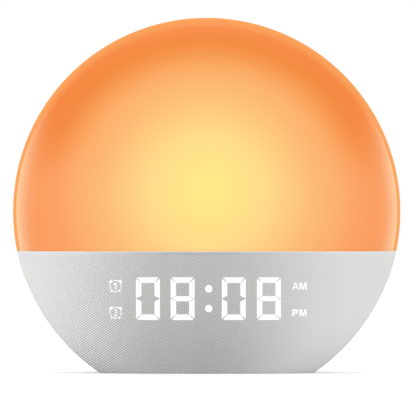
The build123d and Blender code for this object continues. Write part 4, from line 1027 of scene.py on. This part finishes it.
class CLOCK_OT_keys(ClockOperator):
    """Smooths the keys on the rear and prints their marks."""

    bl_idname = "clock.keys"
    bl_label = "Keys"

    def execute(self, context):
        rubber, ink = key_rubber(self.colours), key_ink(self.colours)
        for name in ("set", "alarm_one", "alarm_two", "plus", "minus", "sound"):
            key = f"key_{name}"
            finish_piece(f"{name}_key", smoothed(key), rubber, key, [key])
            low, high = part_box(key)
            bm = bmesh.new()
            getattr(self, name)(bm)
            thicken(bm, self.sizes.print_depth)
            # a mark is drawn as it is read, so it turns round to face the rear
            place = Vector(((low.x + high.x) / 2, high.y, (low.z + high.z) / 2))
            bmesh.ops.transform(
                bm, matrix=Matrix.Translation(place) @ Matrix.Rotation(pi, 4, "Z"),
                verts=bm.verts,
            )
            finish_piece(f"{name}_mark", bm, ink, key)
        return {"FINISHED"}

    def set(self, bm):
        words(bm, "SET", 0, 0, 2.2 * MM, 5.6 * MM, 0.02)

    def alarm_one(self, bm):
        alarm_pictogram(bm, 0, 0, "1", 0.95)

    def alarm_two(self, bm):
        alarm_pictogram(bm, 0, 0, "2", 0.95)

    def minus(self, bm):
        bar(bm, 0, 0, 4.2 * MM, 0.7 * MM)

    def plus(self, bm):
        corner, points = [(2.1, 0.35), (0.35, 0.35), (0.35, 2.1)], []
        for _ in range(4):  # each corner is the last one, a quarter turn on
            points += corner
            corner = [(-z, x) for x, z in corner]
        outline(bm, 0, 0, points, MM)

    def sound(self, bm):
        """A loudspeaker with two arcs of short bars."""
        horn = [(-1.0, -0.7), (0.0, -0.7), (1.2, -1.9), (1.2, 1.9), (0.0, 0.7), (-1.0, 0.7)]
        outline(bm, -1.6 * MM, 0, horn, MM)
        step, span = radians(16), radians(17)
        for radius in (1.6, 2.9):
            for k in range(-3, 3):
                angle = (k + 0.5) * step
                bar(
                    bm, (0.1 + radius * cos(angle)) * MM, radius * sin(angle) * MM,
                    0.4 * MM, radius * span * MM, angle,
                )


class CLOCK_OT_snooze_bar(ClockOperator):
    """Smooths the snooze bar and sets three pips on it to feel for."""

    bl_idname = "clock.snooze_bar"
    bl_label = "Snooze bar"

    stand: length("Stand", "How far the bar stands off the casing", 0.5 * MM)
    half_depth: length("Half depth", "From the bar's rear edge to its middle", 5.7 * MM)
    pip_radius: length("Pip radius", "Radius of a pip", 1.1 * MM)
    pip_pitch: length("Pip pitch", "Spacing of the pips", 4.5 * MM)

    def execute(self, context):
        material = key_rubber(self.colours)
        snooze = finish_piece(
            "snooze_key", smoothed("snooze_bar"), material, "snooze_bar", ["snooze_bar"]
        )
        seat, rim = -PARTING, BODY_RADIUS + self.stand
        shoulder = self.sizes.rear_shoulder + self.stand
        even_shading(snooze, rim, shoulder, -POLE - seat + self.stand, seat, 1)
        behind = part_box("snooze_bar")[1].y - self.half_depth - seat
        lean = asin(behind / shoulder)
        reach = rim - shoulder + shoulder * cos(lean)
        bm = bmesh.new()
        for k in (-1, 0, 1):
            turn = asin(k * self.pip_pitch / reach)
            bmesh.ops.create_uvsphere(
                bm, u_segments=20, v_segments=10, radius=self.pip_radius,
                matrix=Matrix.Translation((0, 0, AXIS_HEIGHT))
                @ Matrix.Rotation(turn, 4, "Y")
                @ Matrix.Translation((0, seat + behind, reach))
                @ Matrix.Rotation(-lean, 4, "X")
                @ Matrix.Diagonal((1, 1, 0.5, 1)),
            )
        finish_piece("snooze_pips", bm, material, "snooze_bar")
        return {"FINISHED"}


class CLOCK_OT_speaker_roll(ClockOperator):
    """Joins the speaker's surround to its basket and its cone, so that it gives with the stroke."""

    bl_idname = "clock.speaker_roll"
    bl_label = "Speaker roll"

    def execute(self, context):
        rubber = moulded("rubber surround", srgb("1f1f20"), 0.55, 0.5, 0.01)
        piece = finish_piece(
            "speaker_roll", smoothed("speaker_surround"), rubber, None,
            ["speaker_surround"],
        )
        low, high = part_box("speaker_surround")
        middle = (low + high) / 2
        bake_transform(piece, "root", "speaker_diaphragm", low, high)
        # the roll is held all round its outer edge, and moves with the cone at its inner edge
        inner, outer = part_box("speaker_cone")[1].x, high.x
        held = piece.data.attributes["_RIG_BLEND"].data
        for v in piece.data.vertices:
            radius = hypot(v.co.x, v.co.z - middle.z)
            share = min(1.0, max(0.0, (outer - radius) / (outer - inner)))
            held[v.index].value = share**1.3  # stays clear of the basket's step
        return {"FINISHED"}


class CLOCK_OT_inside(ClockOperator):
    """Gives every solid that is left its material."""

    bl_idname = "clock.inside"
    bl_label = "Inside"

    def execute(self, context):
        # name, colour, roughness, grain and its depth in millimetres, the solids
        for name, code, roughness, grain, depth, *nodes in (
            # dark and matt, finely pitted by the mould
            ("black ABS", "2c2d2f", 0.5, 0.7, 0.03,
             "front_baffle", "display_mask", "speaker_basket"),
            # milky, with a soft shine
            ("frosted polycarbonate", "f4f5f2", 0.3, 0.5, 0.01, "digit_guides", "icon_guides"),
            # smooth yellow drops
            ("phosphor silicone", "f3e27a", 0.35, 0.2, 0.01, "display_leds", "light_leds"),
            # dull black, with the finest grain
            ("moulded epoxy", "232325", 0.6, 0.15, 0.01, "main_board_chips"),
            # cream and satin, a little rough with its fibres
            ("glass-filled nylon", "e6e1d3", 0.5, 0.4, 0.02,
             "board_connectors", "board_header", "cell_holder"),
            # white and nearly glossy, to throw the light forwards
            ("white reflective polycarbonate", "f2f2ee", 0.25, 1.2, 0.005, "reflector_tray"),
            # dark satin
            ("black thermoplastic", "303133", 0.45, 0.3, 0.02,
             "button_switches", "snooze_switch"),
            # pale, matt and soft
            ("moulded silicone", "f2f2f1", 0.6, 0.6, 0.03, "base_pad"),
            # dull, with deep cells
            ("closed-cell foam", "2b2b2c", 0.9, 0.5, 0.1, "speaker_gasket"),
            # dark and dry, like fine stone
            ("sintered ferrite", "37373a", 0.6, 0.3, 0.02, "speaker_magnet"),
            # a dark satin skin with long, shallow waves
            ("flexible PVC", "3b3c3e", 0.45, 1.5, 0.01,
             "light_lead", "speaker_lead", "power_lead", "snooze_lead", "button_ribbon"),
        ):
            dress(moulded(name, srgb(code), roughness, grain, depth), *nodes)
        # near black, with the uneven tone of pulp
        cone = moulded("pressed paper cone", srgb("3a3938"), 0.85, 0.3, 0.06, share=0.1)
        dress(cone, "speaker_cone")
        # name, colour, roughness, size of the marks, how dense they are each way, the solids
        for name, code, roughness, grain, stretch, *nodes in (
            # bright and slightly blue, with fine crystals
            ("zinc-plated steel", "c3c6c8", 0.3, 0.3, (1, 1, 1),
             "deck_screws", "base_screws", "board_screws", "casing_screws", "small_screws",
             "battery_door_screw", "speaker_pole"),
            # a soft grey sheen
            ("drawn aluminium can", "b9bcc0", 0.3, 0.4, (1, 1, 1), "board_capacitors"),
            # warm yellow, bright from the tool
            ("turned brass", "c9a45a", 0.28, 0.4, (1, 1, 1), "board_standoffs"),
            # bright, with its marks along the strip
            ("drawn stainless steel", "c8c8c6", 0.25, 0.4, (0.2, 1, 1), "coin_cell"),
            # bright and slightly warm
            ("nickel-plated spring steel", "c9c5bb", 0.25, 0.4, (1, 1, 1), "cell_contact"),
            # red brown, with a line for each turn of the wire
            ("copper winding", "b8703f", 0.3, 0.4, (1, 8, 1), "voice_coil"),
        ):
            dress(metal(name, srgb(code), roughness, grain, stretch), *nodes)
        dress(
            circuit("green solder mask", srgb("1f5a36"), srgb("2f7a4a")),
            "display_board", "main_board", "button_board", "snooze_board", "power_board",
        )
        dress(circuit("white solder mask", srgb("eeeeea"), srgb("dcdcd6")), "light_board")
        dress(casing_abs(self.colours), "base_plate", "battery_door")
        dress(inlet_shell(), "power_inlet")
        return {"FINISHED"}


class CLOCK_OT_studio(ClockOperator):
    """Sets the pale floor, the soft light and the camera."""

    bl_idname = "clock.studio"
    bl_label = "Studio"

    distance: length("Distance", "From the camera to the clock", 3.2)
    framed: length("Framed width", "Width that the picture covers at the clock", 0.1939)
    aside: length("Aside", "From the clock's middle to the camera, to the right", 0.6 * MM)
    eye_level: length("Eye level", "Height of the camera over the floor", 76.6 * MM)
    floor_radius: length("Floor radius", "Radius of the floor", 4.0)

    def execute(self, context):
        self.floor()
        self.world()
        self.lamps()
        self.camera()
        context.scene.view_settings.view_transform = "Standard"
        return {"FINISHED"}

    def floor(self):
        """White floor that keeps the clock's shadow."""
        material, tree, shader = surface(
            "matt white paper", Base_Color=(*srgb("f4f4f4"), 1), Roughness=0.9,
            Emission_Color=(1, 1, 1, 1),
        )
        grained(tree, shader, millimetres(tree), 2.0, 3.0, 0.02)
        # seen by the camera it runs out to pure white, and keeps its shadow near the clock
        seen = add(tree, "LightPath", out="Is Camera Ray")
        place = add(tree, "TexCoord", out="Object")
        away = add(tree, "VectorMath", place, operation="LENGTH", out="Value")
        near, far = 0.25, 0.9
        fade = add(
            tree, "MapRange", away, near, far, 0.25, 1.0, interpolation_type="SMOOTHSTEP"
        )
        lift = add(tree, "Math", seen, fade, operation="MULTIPLY")
        feed(shader, {"Emission Strength": lift})
        bm = bmesh.new()
        bmesh.ops.create_circle(bm, cap_ends=True, segments=96, radius=self.floor_radius)
        mesh = meshed("floor", bm)
        mesh.materials.append(material)
        put("floor", mesh)

    def world(self):
        """Even pale surroundings, white where they are seen or mirrored."""
        world = bpy.data.worlds.new("studio")
        bpy.context.scene.world = world
        world.use_nodes = True
        tree = world.node_tree
        tree.nodes.clear()
        path = add(tree, "LightPath", out=None)
        seen = path.outputs["Is Camera Ray"]
        for ray in ("Is Glossy Ray", "Is Transmission Ray"):
            seen = add(tree, "Math", seen, path.outputs[ray], operation="MAXIMUM")
        strength = add(tree, "MapRange", seen, 0, 1, 0.58, 1.0)
        light = add(tree, "Background", (1, 1, 1, 1), strength)
        add(tree, "OutputWorld", light, out=None)

    def lamps(self):
        """Two tall soft boxes at the sides and one above."""
        middle = Vector((0, 0, 0.08))
        for name, x, y, z, power, size in (
            ("left box", -1.3, -0.9, 0.45, 9.0, 0.9),
            ("right box", 1.3, -0.9, 0.45, 8.0, 0.9),
            ("top box", 0.0, 0.35, 1.5, 9.0, 1.2),
        ):
            lamp = bpy.data.lights.new(name, "AREA")
            lamp.energy = power
            lamp.size = size
            box = put(name, lamp)
            box.location = (x, y, z)
            aim = middle - box.location
            box.rotation_euler = aim.to_track_quat("-Z", "Y").to_euler()

    def camera(self):
        """Camera straight in front, level with the clock's middle."""
        camera = bpy.data.cameras.new("camera")
        camera.lens = camera.sensor_width * self.distance / self.framed
        camera.clip_end = 50
        holder = put("camera", camera)
        holder.location = (self.aside, -self.distance, self.eye_level)
        holder.rotation_euler = (pi / 2, 0, 0)
        bpy.context.scene.camera = holder


OPERATORS = (
    CLOCK_OT_lamp_shade,
    CLOCK_OT_lamp_ring,
    CLOCK_OT_deck_strip,
    CLOCK_OT_cloth,
    CLOCK_OT_digits,
    CLOCK_OT_pictograms,
    CLOCK_OT_rear_casing,
    CLOCK_OT_keys,
    CLOCK_OT_snooze_bar,
    CLOCK_OT_speaker_roll,
    CLOCK_OT_inside,
    CLOCK_OT_studio,
)


class CLOCK_PT_panel(bpy.types.Panel):
    """Lists what builds the clock, with its sizes and colours."""

    bl_label = "Sunrise alarm clock"
    bl_idname = "CLOCK_PT_panel"
    bl_space_type = "VIEW_3D"
    bl_region_type = "UI"
    bl_category = "Clock"

    def draw(self, context):
        layout = self.layout
        for settings in (context.scene.clock_sizes, context.scene.clock_colours):
            for name in settings.__annotations__:
                layout.prop(settings, name)
        for operator in OPERATORS:
            layout.operator(operator.bl_idname)


CLASSES = (ClockSizes, ClockColours, *OPERATORS, CLOCK_PT_panel)


def register():
    for made in CLASSES:
        bpy.utils.register_class(made)
    bpy.types.Scene.clock_sizes = bpy.props.PointerProperty(type=ClockSizes)
    bpy.types.Scene.clock_colours = bpy.props.PointerProperty(type=ClockColours)


def unregister():
    del bpy.types.Scene.clock_colours
    del bpy.types.Scene.clock_sizes
    for made in reversed(CLASSES):
        bpy.utils.unregister_class(made)


def main():
    """Builds the clock and its studio."""
    register()
    for operator in OPERATORS:
        getattr(bpy.ops.clock, operator.bl_idname.removeprefix("clock."))()


if __name__ == "__main__":
    main()
